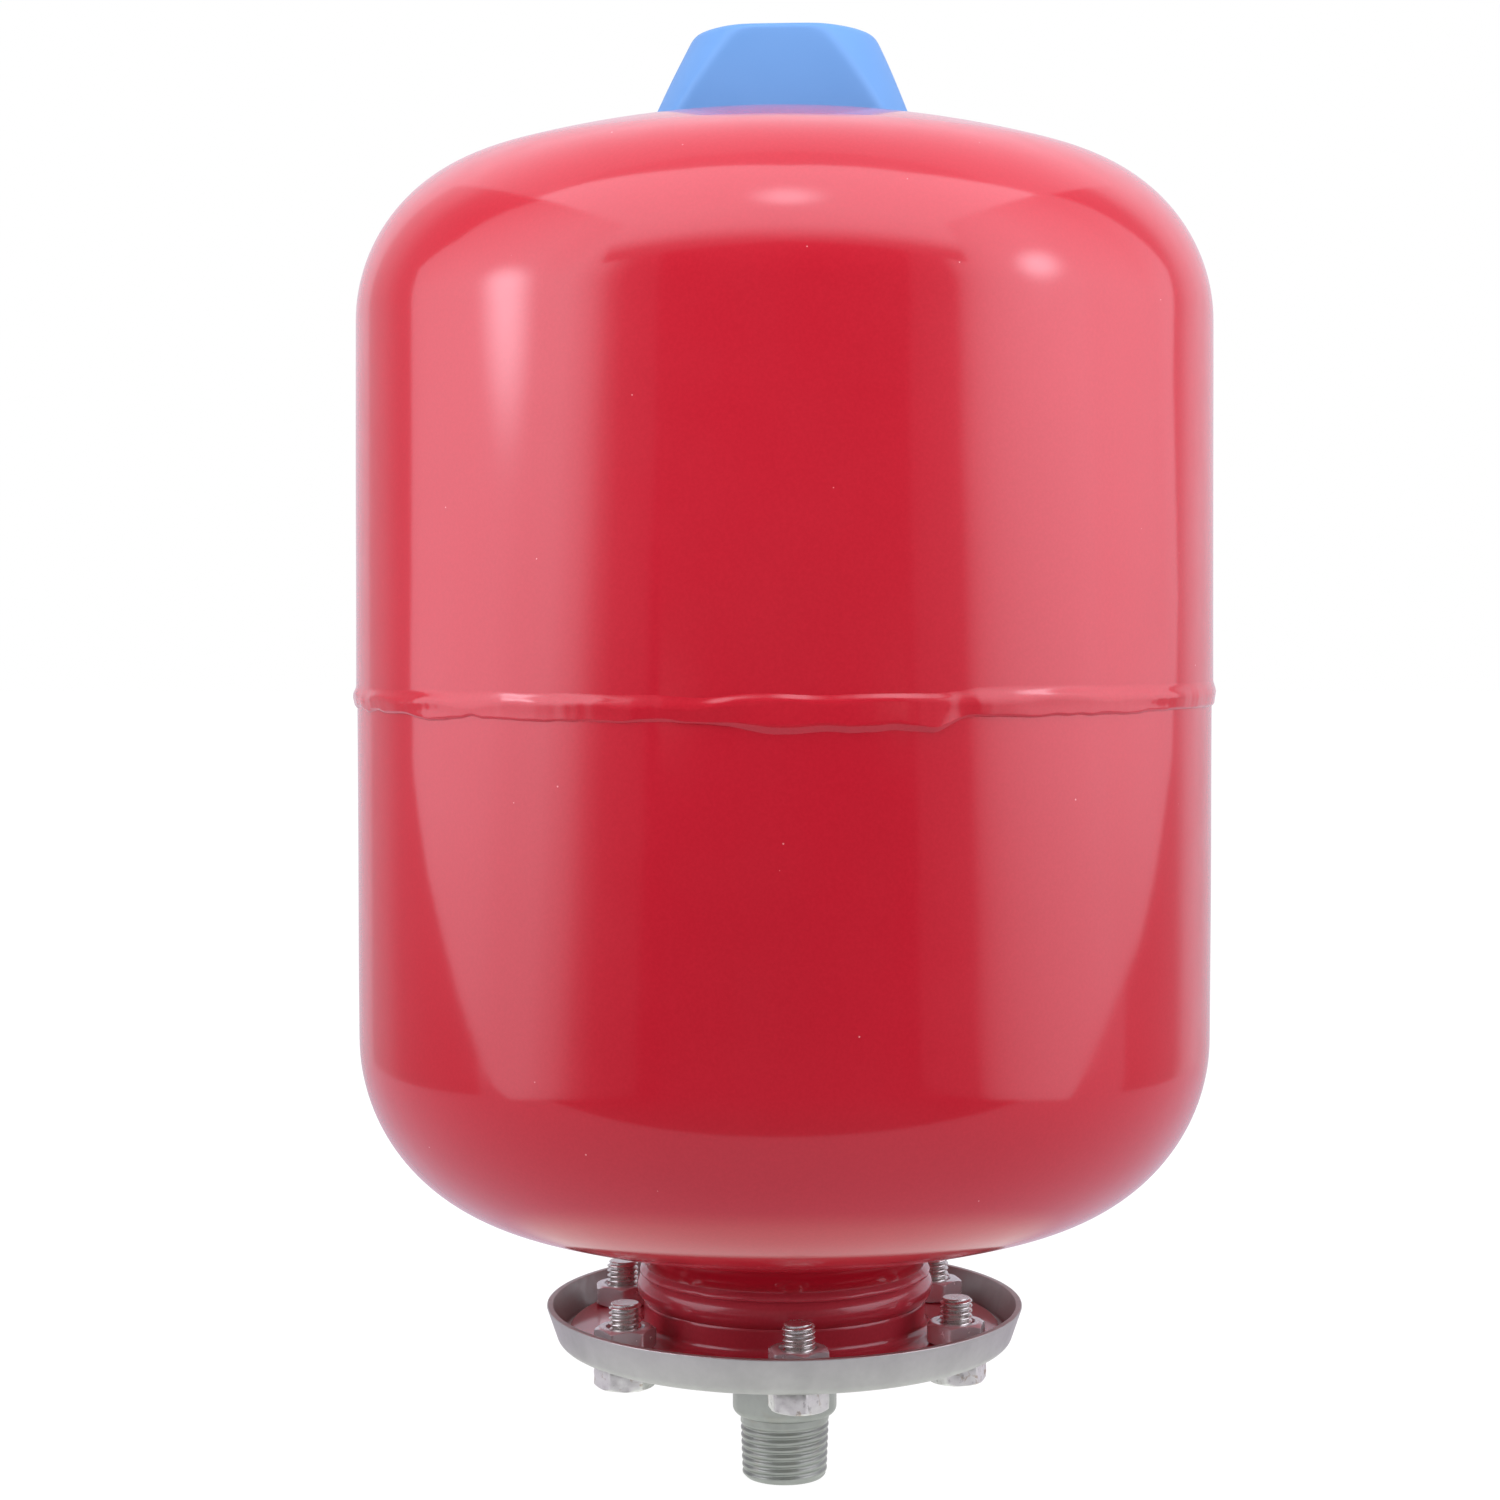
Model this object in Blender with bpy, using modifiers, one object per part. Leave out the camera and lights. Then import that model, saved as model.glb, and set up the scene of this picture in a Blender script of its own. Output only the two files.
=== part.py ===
"""Bladder expansion vessel, about eight litres, with a flanged neck and a 1/2 inch pipe nipple.

Origin: centre of the nipple's open end. +Z runs up the vessel's axis to the valve cover.
Lengths in the named constants are in millimetres; the scene is in metres.
"""

import math

import bmesh
import bpy
from mathutils import Matrix, Vector

MM = 0.001

# ---- vessel shells -------------------------------------------------------------------
SHEET = 1.2  # thickness of both deep-drawn shells
UPPER_WAIST_R = 103.4
UPPER_TOP_R = 102.9
UPPER_TOP_Z = 281.0
UPPER_KNUCKLE = 40.25
UPPER_CROWN = 249.7
UPPER_EDGE_Z = 191.4
LOWER_WAIST_R = 103.12
LOWER_BOTTOM_R = 103.03
LOWER_BOTTOM_Z = 110.0
LOWER_KNUCKLE = 45.0
LOWER_CROWN = 237.0
LOWER_SHOULDER_Z = 190.2
JOGGLE_DROP = 1.5  # how far the lower shell steps in to enter the upper one
JOGGLE_TOP_Z = 198.6
WELD_Z = 192.0
WELD_R = 104.1

# ---- neck ----------------------------------------------------------------------------
THROAT_R = 34.4
THROAT_FILLET = 7.0
THROAT_END_Z = 51.2
NECK_R = 34.6
NECK_BORE = 31.0
LIP_SEAT_R = 33.2
LIP_SEAT_Z = 39.0
RIB_R = 36.25
RIB_Z = 47.7
NECK_TOP_Z = 50.9
PLATE_R = 52.7
PLATE_TOP_Z = 37.8
PLATE_BOTTOM_Z = 35.8

# ---- counter-flange ------------------------------------------------------------------
DISH_RIM_R = 58.4
DISH_RIM_Z = 43.3
DISH_FOOT_R = 55.2
DISH_BOTTOM_Z = 34.1
DISH_SHEET = 1.5
DISH_HOLE = 10.8

# ---- flange fasteners (M8) -----------------------------------------------------------
BOLTS = 6
BOLT_CIRCLE_R = 45.6
BOLT_TURN = 4.0  # degrees, first bolt from the -Y direction towards +X
BOLT_HOLE_R = 4.4
SHANK_R = 3.9
BOLT_TIP_Z = 48.7
HEX = 13.0  # across flats
HEAD_H = 5.3
HEAD_TOP_Z = 34.0
NUT_H = 5.15
NUT_SEAT_Z = 37.9
NUT_BORE_R = 4.15
HEAD_TURN = (12, 40, 74, 21, 55, 33)  # degrees, as the spanner left each head
NUT_TURN = (12, 48, 20, 66, 3, 37)

# ---- pipe nipple, R 1/2 --------------------------------------------------------------
NIPPLE_COLLAR_R = 12.8
NIPPLE_COLLAR_Z = 17.6
NIPPLE_BORE = 7.4
THREAD_END_R = 10.36
THREAD_ROOT_R = 10.9
THREAD_TOP_Z = 14.4
SPIGOT_R = 10.5
SPIGOT_TOP_Z = 36.6

# ---- bladder -------------------------------------------------------------------------
BLADDER_WALL = 1.8
BLADDER_R = 86.0
BLADDER_TOP_Z = 304.0

# ---- air valve -----------------------------------------------------------------------
BOSS_HOLE = 8.3
BOSS_R = 12.0
BOSS_TOP_Z = 338.0
WELL_R = 8.5
WELL_FLOOR_Z = 333.4
STEM_R = 3.85
STEM_BORE = 2.75
STEM_TOP_Z = 341.5
STEM_BOTTOM_Z = 321.0
STEM_SEAT_Z = 323.5
CORE_R = 2.5
CORE_BOTTOM_Z = 333.0
CORE_TOP_Z = 341.0
PIN_R = 0.6
PIN_TOP_Z = 341.25
PIN_BOTTOM_Z = 325.4
PLUNGER_R = 1.9
PLUNGER_Z = 331.3
SPRING_R = 1.45
SPRING_WIRE_R = 0.18
SPRING_TURNS = 4
DUST_CAP_R = 5.2
DUST_CAP_BORE = 4.1
DUST_CAP_BOTTOM_Z = 334.7
DUST_CAP_TOP_Z = 343.0

# ---- valve cover ---------------------------------------------------------------------
COVER_TOP_Z = 350.7
COVER_EDGE_R = 24.6
COVER_EDGE_Z = 345.3
COVER_BASE_R = 33.6
COVER_BASE_Z = 327.8
COVER_FILLET = 4.0
COVER_WALL = 2.2
COVER_GAP = 0.4  # over the crown it sits on
GRIP_DISTANCE = 19.5  # of each finger grip from the axis
GRIP_CURVE = 160.0  # hollow radius of each grip
GRIP_TURN = -4.0  # degrees, first grip from the -Y direction towards +X
GRIPS = 3
SKIRT_IN = 12.4
SKIRT_OUT = 14.4
SKIRT_BOTTOM_Z = 332.4


# ---- scene helpers -------------------------------------------------------------------
for old in list(bpy.data.objects):
    bpy.data.objects.remove(old, do_unlink=True)


def collection(name):
    made = bpy.data.collections.new(name)
    bpy.context.scene.collection.children.link(made)
    return made


PARTS = collection("expansion_vessel")
CUTTERS = collection("cutters")
CUTTERS.hide_render = True


def material(name, colour, roughness, metallic):
    made = bpy.data.materials.new(name)
    made.use_nodes = True
    shader = made.node_tree.nodes["Principled BSDF"]
    shader.inputs["Base Color"].default_value = (*colour, 1.0)
    shader.inputs["Roughness"].default_value = roughness
    shader.inputs["Metallic"].default_value = metallic
    made.diffuse_color = (*colour, 1.0)
    return made


RED = material("red_powder_coat", (0.50, 0.012, 0.035), 0.18, 0.0)
BEAD = material("red_coated_weld", (0.48, 0.012, 0.032), 0.22, 0.0)
NECK_RED = material("red_coated_neck", (0.46, 0.010, 0.030), 0.20, 0.0)
ZINC = material("galvanised_sheet", (0.52, 0.53, 0.54), 0.48, 0.8)
BOLT_ZINC = material("zinc_plated_bolt", (0.60, 0.59, 0.56), 0.42, 0.9)
NUT_ZINC = material("zinc_plated_nut", (0.50, 0.49, 0.48), 0.30, 0.95)
NIPPLE_ZINC = material("zinc_plated_nipple", (0.45, 0.47, 0.47), 0.38, 0.9)
STEEL = material("bare_weld_steel", (0.35, 0.34, 0.33), 0.50, 0.9)
BRASS = material("brass", (0.72, 0.53, 0.22), 0.30, 1.0)
SPRING_STEEL = material("spring_steel", (0.42, 0.42, 0.44), 0.30, 1.0)
EPDM = material("black_epdm", (0.02, 0.02, 0.02), 0.75, 0.0)
BLUE = material("blue_polypropylene", (0.14, 0.36, 0.85), 0.45, 0.0)
BLACK_PLASTIC = material("black_plastic", (0.025, 0.025, 0.028), 0.45, 0.0)


def place(obj, coat=None, cutter=False):
    (CUTTERS if cutter else PARTS).objects.link(obj)
    if cutter:
        obj.hide_render = True
        obj.display_type = "WIRE"
    if coat is not None:
        obj.data.materials.append(coat)
    return obj


def arc(centre, radius, start, end, steps):
    """Points on an arc, angles in degrees from +r towards +z."""
    made = []
    for i in range(steps + 1):
        a = math.radians(start + (end - start) * i / steps)
        made.append((centre[0] + radius * math.cos(a), centre[1] + radius * math.sin(a)))
    return made


def rounded(corners, steps=3):
    """A closed profile from (r, z, fillet radius) corners, each fillet made of short chords."""
    made = []
    count = len(corners)
    for i, (r, z, fillet) in enumerate(corners):
        here = Vector((r, z))
        if fillet <= 0:
            made.append((r, z))
            continue
        before = Vector(corners[i - 1][:2]) - here
        after = Vector(corners[(i + 1) % count][:2]) - here
        before.normalize()
        after.normalize()
        half = before.angle(after) / 2
        reach = fillet / math.tan(half)
        centre = here + (before + after).normalized() * (fillet / math.sin(half))
        first = here + before * reach - centre
        last = here + after * reach - centre
        turn = first.angle_signed(last)
        for k in range(steps + 1):
            a = -turn * k / steps
            spun = Vector(
                (
                    first.x * math.cos(a) - first.y * math.sin(a),
                    first.x * math.sin(a) + first.y * math.cos(a),
                )
            )
            made.append(tuple(centre + spun))
    return made


def profile_mesh(name, points, closed=True):
    mesh = bpy.data.meshes.new(name)
    edges = [(i, i + 1) for i in range(len(points) - 1)]
    if closed:
        edges.append((len(points) - 1, 0))
    mesh.from_pydata([(r * MM, 0.0, z * MM) for r, z in points], edges, [])
    return mesh


def turned(name, points, coat=None, segments=48, closed=True, cutter=False, origin_z=0.0):
    """A solid turned about Z. Its profile runs down the outer side."""
    moved = [(r, z - origin_z) for r, z in points]
    obj = bpy.data.objects.new(name, profile_mesh(name, moved, closed))
    obj.location.z = origin_z * MM
    place(obj, coat, cutter)
    screw = obj.modifiers.new("turn", "SCREW")
    screw.axis = "Z"
    screw.angle = 2 * math.pi
    screw.steps = segments
    screw.render_steps = segments
    screw.use_merge_vertices = True
    screw.merge_threshold = 0.00001
    screw.use_smooth_shade = True
    return obj


def boolean(obj, other, operation):
    cut = obj.modifiers.new(operation.lower() + "_" + other.name, "BOOLEAN")
    cut.operation = operation
    cut.object = other
    cut.solver = "EXACT"


def primitive(name, build, coat=None, cutter=False):
    mesh = bpy.data.meshes.new(name)
    shape = bmesh.new()
    build(shape)
    shape.to_mesh(mesh)
    shape.free()
    return place(bpy.data.objects.new(name, mesh), coat, cutter)


def rod(name, radius, bottom, top, sides, coat=None, cutter=False, at=(0.0, 0.0), turn=0.0):
    """A cylinder or a regular prism standing on Z."""

    def build(shape):
        bmesh.ops.create_cone(
            shape,
            cap_ends=True,
            segments=sides,
            radius1=radius * MM,
            radius2=radius * MM,
            depth=(top - bottom) * MM,
            matrix=Matrix.Translation((0, 0, (top + bottom) / 2 * MM))
            @ Matrix.Rotation(math.radians(turn), 4, "Z"),
        )

    obj = primitive(name, build, coat, cutter)
    obj.location.x, obj.location.y = at[0] * MM, at[1] * MM
    return obj


def evaluated_copy(obj, name):
    """The mesh that the object's modifiers give, kept as a mesh of its own."""
    bpy.context.view_layer.update()
    graph = bpy.context.evaluated_depsgraph_get()
    mesh = bpy.data.meshes.new_from_object(obj.evaluated_get(graph))
    mesh.name = name
    return mesh


def smooth(mesh, angle=35):
    mesh.shade_smooth()
    mesh.set_sharp_from_angle(angle=math.radians(angle))


# ---- vessel shells -------------------------------------------------------------------
def head(edge_r, edge_z, knuckle, crown, thickness, end_r, up, crown_steps=4, knuckle_steps=5):
    """Points of a dished head from its straight edge to radius end_r, seen at a depth of thickness."""
    centre_r = edge_r - knuckle
    drop = math.sqrt((crown - knuckle) ** 2 - centre_r**2)
    meet = math.degrees(math.atan2(drop, centre_r))
    crown_z = edge_z - drop if up else edge_z + drop
    sign = 1 if up else -1
    made = arc((centre_r, edge_z), knuckle - thickness, 0, sign * meet, knuckle_steps)
    reach = crown - thickness
    last = math.degrees(math.acos(end_r / reach))
    made += arc((0, crown_z), reach, sign * meet, sign * last, crown_steps)[1:]
    return made


def crown_centre(edge_r, edge_z, knuckle, crown, up):
    drop = math.sqrt((crown - knuckle) ** 2 - (edge_r - knuckle) ** 2)
    return edge_z - drop if up else edge_z + drop


UPPER_CENTRE_Z = crown_centre(UPPER_TOP_R, UPPER_TOP_Z, UPPER_KNUCKLE, UPPER_CROWN, True)
LOWER_CENTRE_Z = crown_centre(LOWER_BOTTOM_R, LOWER_BOTTOM_Z, LOWER_KNUCKLE, LOWER_CROWN, False)

upper_outer = head(UPPER_TOP_R, UPPER_TOP_Z, UPPER_KNUCKLE, UPPER_CROWN, 0, BOSS_HOLE, True)
upper_inner = head(UPPER_TOP_R, UPPER_TOP_Z, UPPER_KNUCKLE, UPPER_CROWN, SHEET, BOSS_HOLE, True)
upper_profile = (
    upper_outer[::-1]
    + [(UPPER_WAIST_R, UPPER_EDGE_Z), (UPPER_WAIST_R - SHEET, UPPER_EDGE_Z)]
    + upper_inner
)
upper_shell = turned("upper_shell", upper_profile, RED, 40)


def lower_points(depth):
    """The lower shell's surface from its shoulder to the end of its throat, at a depth inside the sheet."""
    throat = THROAT_R - depth
    fillet = THROAT_FILLET + depth
    crown = LOWER_CROWN - depth
    centre_r = throat + fillet
    centre_z = LOWER_CENTRE_Z - math.sqrt((crown + fillet) ** 2 - centre_r**2)
    touch_r = crown * centre_r / (crown + fillet)
    made = head(
        LOWER_BOTTOM_R, LOWER_BOTTOM_Z, LOWER_KNUCKLE, LOWER_CROWN, depth, touch_r, False, 3
    )
    rise = math.degrees(math.atan2(LOWER_CENTRE_Z - centre_z, -centre_r))
    made += arc((centre_r, centre_z), fillet, rise, 180, 3)[1:]
    return made + [(throat, THROAT_END_Z)]


lower_profile = (
    [
        (LOWER_WAIST_R - JOGGLE_DROP + 0.28, JOGGLE_TOP_Z),
        (LOWER_WAIST_R - JOGGLE_DROP + 0.28, LOWER_SHOULDER_Z + 0.9),
        (LOWER_WAIST_R, LOWER_SHOULDER_Z),
    ]
    + lower_points(0.0)
    + lower_points(SHEET)[::-1]
    + [
        (LOWER_WAIST_R - SHEET, LOWER_SHOULDER_Z - 0.8),
        (LOWER_WAIST_R - JOGGLE_DROP + 0.28 - SHEET, LOWER_SHOULDER_Z + 0.3),
        (LOWER_WAIST_R - JOGGLE_DROP + 0.28 - SHEET, JOGGLE_TOP_Z),
    ]
)
lower_shell = turned("lower_shell", lower_profile, RED, 40)

girth_weld = turned(
    "girth_weld",
    [
        (UPPER_WAIST_R + 0.25, WELD_Z + 3.8),
        (WELD_R - 0.08, WELD_Z + 1.0),
        (WELD_R, WELD_Z),
        (WELD_R - 0.30, WELD_Z - 2.3),
        (LOWER_WAIST_R + 0.30, WELD_Z - 3.2),
        (LOWER_WAIST_R + 0.12, WELD_Z - 3.2),
        (LOWER_WAIST_R + 0.12, LOWER_SHOULDER_Z),
        (UPPER_WAIST_R + 0.12, UPPER_EDGE_Z - 0.3),
        (UPPER_WAIST_R + 0.12, WELD_Z + 3.8),
    ],
    BEAD,
    40,
)

# ---- neck collar with its bolting plate ---------------------------------------------
neck_profile = (
    [(35.0, NECK_TOP_Z)]
    + arc((RIB_R - 4.2, RIB_Z), 4.2, 42, -42, 4)
    + rounded(
        [
            (NECK_R, 43.4, 0),
            (NECK_R, PLATE_TOP_Z, 2.0),
            (PLATE_R, PLATE_TOP_Z, 0.6),
            (PLATE_R, PLATE_BOTTOM_Z, 0.3),
            (LIP_SEAT_R, PLATE_BOTTOM_Z, 0),
            (LIP_SEAT_R, LIP_SEAT_Z, 0),
            (NECK_BORE, LIP_SEAT_Z, 0),
            (NECK_BORE, NECK_TOP_Z, 0),
        ],
        2,
    )
)
neck_collar = turned("neck_collar", neck_profile, NECK_RED, 32)

neck_weld = turned(
    "neck_weld",
    [
        (THROAT_R + 0.2, 52.6),
        (THROAT_R + 0.9, 52.25),
        (THROAT_R + 1.35, 51.75),
        (THROAT_R + 1.42, 51.4),
        (THROAT_R + 1.2, 51.05),
        (THROAT_R + 0.2, 51.05),
    ],
    BEAD,
    32,
)

# ---- counter-flange ------------------------------------------------------------------
wall_slope = (DISH_RIM_R - DISH_FOOT_R) / (DISH_RIM_Z - DISH_BOTTOM_Z)
wall_step = DISH_SHEET * math.sqrt(1 + wall_slope**2)
floor_z = DISH_BOTTOM_Z + DISH_SHEET
inner_foot = DISH_FOOT_R + wall_slope * DISH_SHEET - wall_step
counter_flange = turned(
    "counter_flange",
    rounded(
        [
            (DISH_RIM_R, DISH_RIM_Z, 0.35),
            (DISH_FOOT_R, DISH_BOTTOM_Z, 2.8),
            (DISH_HOLE, DISH_BOTTOM_Z, 0),
            (DISH_HOLE, floor_z, 0),
            (inner_foot, floor_z, 1.3),
            (DISH_RIM_R - wall_step, DISH_RIM_Z, 0.35),
        ],
        2,
    ),
    ZINC,
    36,
)

# ---- bolt holes through plate and counter-flange ------------------------------------
places = []
for i in range(BOLTS):
    angle = math.radians(-90 + BOLT_TURN + 360 / BOLTS * i)
    at = (BOLT_CIRCLE_R * math.cos(angle), BOLT_CIRCLE_R * math.sin(angle))
    places.append(at)
    hole = rod(f"bolt_hole_{i + 1}", BOLT_HOLE_R, 30.0, 46.0, 16, cutter=True, at=at)
    boolean(neck_collar, hole, "DIFFERENCE")
    boolean(counter_flange, hole, "DIFFERENCE")

# ---- hexagon bolts and nuts ----------------------------------------------------------
corner_r = HEX / math.sqrt(3)


def hex_blank(name, bottom, top, chamfer_top, chamfer_bottom):
    """A hexagon prism whose corners are turned off at 30 degrees."""
    block = rod(name, corner_r, bottom, top, 6, cutter=True)
    inset = corner_r - HEX / 2 * 0.96
    drop = inset * math.tan(math.radians(30))
    turned_blank = turned(
        name + "_turning",
        [
            (0, top),
            (HEX / 2 * 0.96, top) if chamfer_top else (corner_r + 1, top),
            (corner_r + 1, top - drop - math.tan(math.radians(30))) if chamfer_top else (corner_r + 1, top - 1),
            (corner_r + 1, bottom + drop + math.tan(math.radians(30))) if chamfer_bottom else (corner_r + 1, bottom),
            (HEX / 2 * 0.96, bottom) if chamfer_bottom else (corner_r, bottom),
            (0, bottom),
        ],
        None,
        12,
        closed=False,
        cutter=True,
    )
    boolean(block, turned_blank, "INTERSECT")
    return block


bolt_blank = hex_blank("bolt_head_blank", HEAD_TOP_Z - HEAD_H, HEAD_TOP_Z, False, True)
shank = turned(
    "bolt_shank",
    [
        (0, BOLT_TIP_Z),
        (SHANK_R - 0.8, BOLT_TIP_Z),
        (SHANK_R, BOLT_TIP_Z - 0.8),
        (SHANK_R, HEAD_TOP_Z - 1.0),
        (0, HEAD_TOP_Z - 1.0),
    ],
    None,
    16,
    closed=False,
    cutter=True,
)
boolean(bolt_blank, shank, "UNION")
bolt_mesh = evaluated_copy(bolt_blank, "flange_bolt")
bolt_mesh.materials.clear()
bolt_mesh.materials.append(BOLT_ZINC)
smooth(bolt_mesh)

nut_blank = hex_blank("nut_blank", NUT_SEAT_Z, NUT_SEAT_Z + NUT_H, True, True)
boolean(
    nut_blank,
    rod("nut_bore", NUT_BORE_R, NUT_SEAT_Z - 2, NUT_SEAT_Z + NUT_H + 2, 16, cutter=True),
    "DIFFERENCE",
)
nut_mesh = evaluated_copy(nut_blank, "flange_nut")
nut_mesh.materials.clear()
nut_mesh.materials.append(NUT_ZINC)
smooth(nut_mesh)

for i, at in enumerate(places):
    for kind, mesh, turns in (("flange_bolt", bolt_mesh, HEAD_TURN), ("flange_nut", nut_mesh, NUT_TURN)):
        obj = bpy.data.objects.new(f"{kind}_{i + 1}", mesh)
        obj.location = (at[0] * MM, at[1] * MM, 0)
        obj.rotation_euler.z = math.radians(turns[i])
        PARTS.objects.link(obj)

# ---- pipe nipple and its weld --------------------------------------------------------
connection_nipple = turned(
    "connection_nipple",
    rounded(
        [
            (SPIGOT_R, SPIGOT_TOP_Z, 0),
            (SPIGOT_R, DISH_BOTTOM_Z - 0.1, 0),
            (NIPPLE_COLLAR_R, DISH_BOTTOM_Z - 0.1, 0),
            (NIPPLE_COLLAR_R, NIPPLE_COLLAR_Z - 1.8, 1.7),
            (THREAD_ROOT_R, NIPPLE_COLLAR_Z - 2.2, 0),
            (THREAD_ROOT_R, THREAD_TOP_Z, 0),
            (THREAD_END_R, 0.7, 0),
            (THREAD_END_R - 0.6, 0, 0),
            (NIPPLE_BORE, 0, 0),
            (NIPPLE_BORE, SPIGOT_TOP_Z, 0),
        ],
        3,
    ),
    NIPPLE_ZINC,
    32,
)

nipple_weld = turned(
    "nipple_weld",
    [
        (SPIGOT_R + 0.15, SPIGOT_TOP_Z - 0.1),
        (SPIGOT_R + 0.9, SPIGOT_TOP_Z - 0.25),
        (SPIGOT_R + 1.5, floor_z + 0.35),
        (SPIGOT_R + 1.7, floor_z + 0.12),
        (SPIGOT_R + 0.15, floor_z + 0.12),
    ],
    STEEL,
    24,
)

# ---- bladder -------------------------------------------------------------------------
neck_out = NECK_BORE - 0.4


def bag(depth):
    """Half outline of the bag from its crown to its neck, at a depth inside the rubber."""
    made = []
    crown_r = BLADDER_R - depth
    top = BLADDER_TOP_Z - depth
    for i in range(1, 6):
        a = math.radians(90 - 90 * i / 5)
        made.append((crown_r * math.cos(a), top - 52 + 52 * math.sin(a)))
    for i in range(1, 6):
        t = i / 5
        ease = 0.5 + 0.5 * math.cos(math.pi * t)
        r = (neck_out - depth) + (BLADDER_R - neck_out) * ease
        made.append((r, 140 - 78 * t))
    return made


bladder = turned(
    "bladder",
    [(0, BLADDER_TOP_Z)]
    + bag(0.0)
    + [
        (neck_out, LIP_SEAT_Z + 0.3),
        (neck_out, LIP_SEAT_Z - 0.2),
        (LIP_SEAT_R - 0.3, LIP_SEAT_Z - 0.2),
        (LIP_SEAT_R - 0.3, floor_z + 0.15),
        (neck_out - 3.6, floor_z + 0.15),
        (neck_out - 3.6, LIP_SEAT_Z - 0.6),
        (neck_out - BLADDER_WALL, LIP_SEAT_Z + 0.3),
    ]
    + bag(BLADDER_WALL)[::-1]
    + [(0, BLADDER_TOP_Z - BLADDER_WALL)],
    EPDM,
    24,
    closed=False,
)


# ---- air valve -----------------------------------------------------------------------
def crown_z(r, over=0.0):
    """Height of the upper shell's crown at radius r."""
    return UPPER_CENTRE_Z + math.sqrt((UPPER_CROWN + over) ** 2 - r * r)


valve_boss = turned(
    "valve_boss",
    rounded(
        [
            (BOSS_R, BOSS_TOP_Z, 0.5),
            (BOSS_R, crown_z(BOSS_HOLE) + 0.15, 0),
            (BOSS_HOLE - 0.2, crown_z(BOSS_HOLE) + 0.15, 0),
            (BOSS_HOLE - 0.2, 324.0, 0.5),
            (STEM_R + 0.25, 324.0, 0),
            (STEM_R + 0.25, WELL_FLOOR_Z, 0),
            (WELL_R, WELL_FLOOR_Z, 0),
            (WELL_R, BOSS_TOP_Z, 0),
        ],
        1,
    ),
    STEEL,
    24,
)
valve_boss_weld = turned(
    "valve_boss_weld",
    [
        (BOSS_HOLE - 0.05, 327.6),
        (BOSS_HOLE + 1.6, crown_z(BOSS_HOLE) - SHEET - 0.35),
        (BOSS_HOLE + 1.2, 328.2),
        (BOSS_HOLE - 0.05, 326.9),
    ],
    STEEL,
    24,
)
valve_stem = turned(
    "valve_stem",
    rounded(
        [
            (STEM_R, STEM_TOP_Z, 0.3),
            (STEM_R, STEM_BOTTOM_Z, 0.4),
            (1.1, STEM_BOTTOM_Z, 0),
            (1.1, STEM_SEAT_Z, 0),
            (STEM_BORE, STEM_SEAT_Z, 0),
            (STEM_BORE, STEM_TOP_Z, 0),
        ],
        2,
    ),
    BRASS,
    24,
)
valve_core_body = turned(
    "valve_core_body",
    rounded(
        [
            (CORE_R, CORE_TOP_Z, 0.3),
            (CORE_R, 336.4, 0),
            (CORE_R - 0.35, 336.0, 0),
            (CORE_R - 0.35, CORE_BOTTOM_Z, 0.2),
            (PIN_R + 0.3, CORE_BOTTOM_Z, 0),
            (PIN_R + 0.3, CORE_TOP_Z, 0),
        ],
        2,
    ),
    BRASS,
    20,
)
# The pin, its seal and its spring have their origins on the pin's own axis at its tip.
valve_core_pin = turned(
    "valve_core_pin",
    [
        (0, PIN_TOP_Z),
        (PIN_R * 0.7, PIN_TOP_Z),
        (PIN_R, PIN_TOP_Z - 0.25),
        (PIN_R, PLUNGER_Z + 0.9),
        (PLUNGER_R, PLUNGER_Z + 0.9),
        (PLUNGER_R, PLUNGER_Z),
        (PIN_R, PLUNGER_Z),
        (PIN_R, PIN_BOTTOM_Z),
        (0, PIN_BOTTOM_Z),
    ],
    BRASS,
    16,
    closed=False,
    origin_z=PIN_TOP_Z,
)
valve_core_seal = turned(
    "valve_core_seal",
    [
        (PLUNGER_R, CORE_BOTTOM_Z - 0.15),
        (PLUNGER_R, PLUNGER_Z + 1.02),
        (PIN_R + 0.12, PLUNGER_Z + 1.02),
        (PIN_R + 0.12, CORE_BOTTOM_Z - 0.15),
    ],
    EPDM,
    16,
    origin_z=PIN_TOP_Z,
)

coil = bpy.data.curves.new("valve_core_spring", "CURVE")
coil.dimensions = "3D"
coil.bevel_depth = SPRING_WIRE_R * MM
coil.bevel_resolution = 1
coil.use_fill_caps = True
per_turn = 8
line = coil.splines.new("POLY")
line.points.add(SPRING_TURNS * per_turn)
coil_low = STEM_SEAT_Z + 0.2 + SPRING_WIRE_R
coil_high = PLUNGER_Z - 0.2 - SPRING_WIRE_R
for i in range(SPRING_TURNS * per_turn + 1):
    a = 2 * math.pi * i / per_turn
    z = coil_low + (coil_high - coil_low) * i / (SPRING_TURNS * per_turn)
    line.points[i].co = (SPRING_R * MM * math.cos(a), SPRING_R * MM * math.sin(a), z * MM, 1)
valve_core_spring = place(bpy.data.objects.new("valve_core_spring", coil), SPRING_STEEL)

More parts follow.
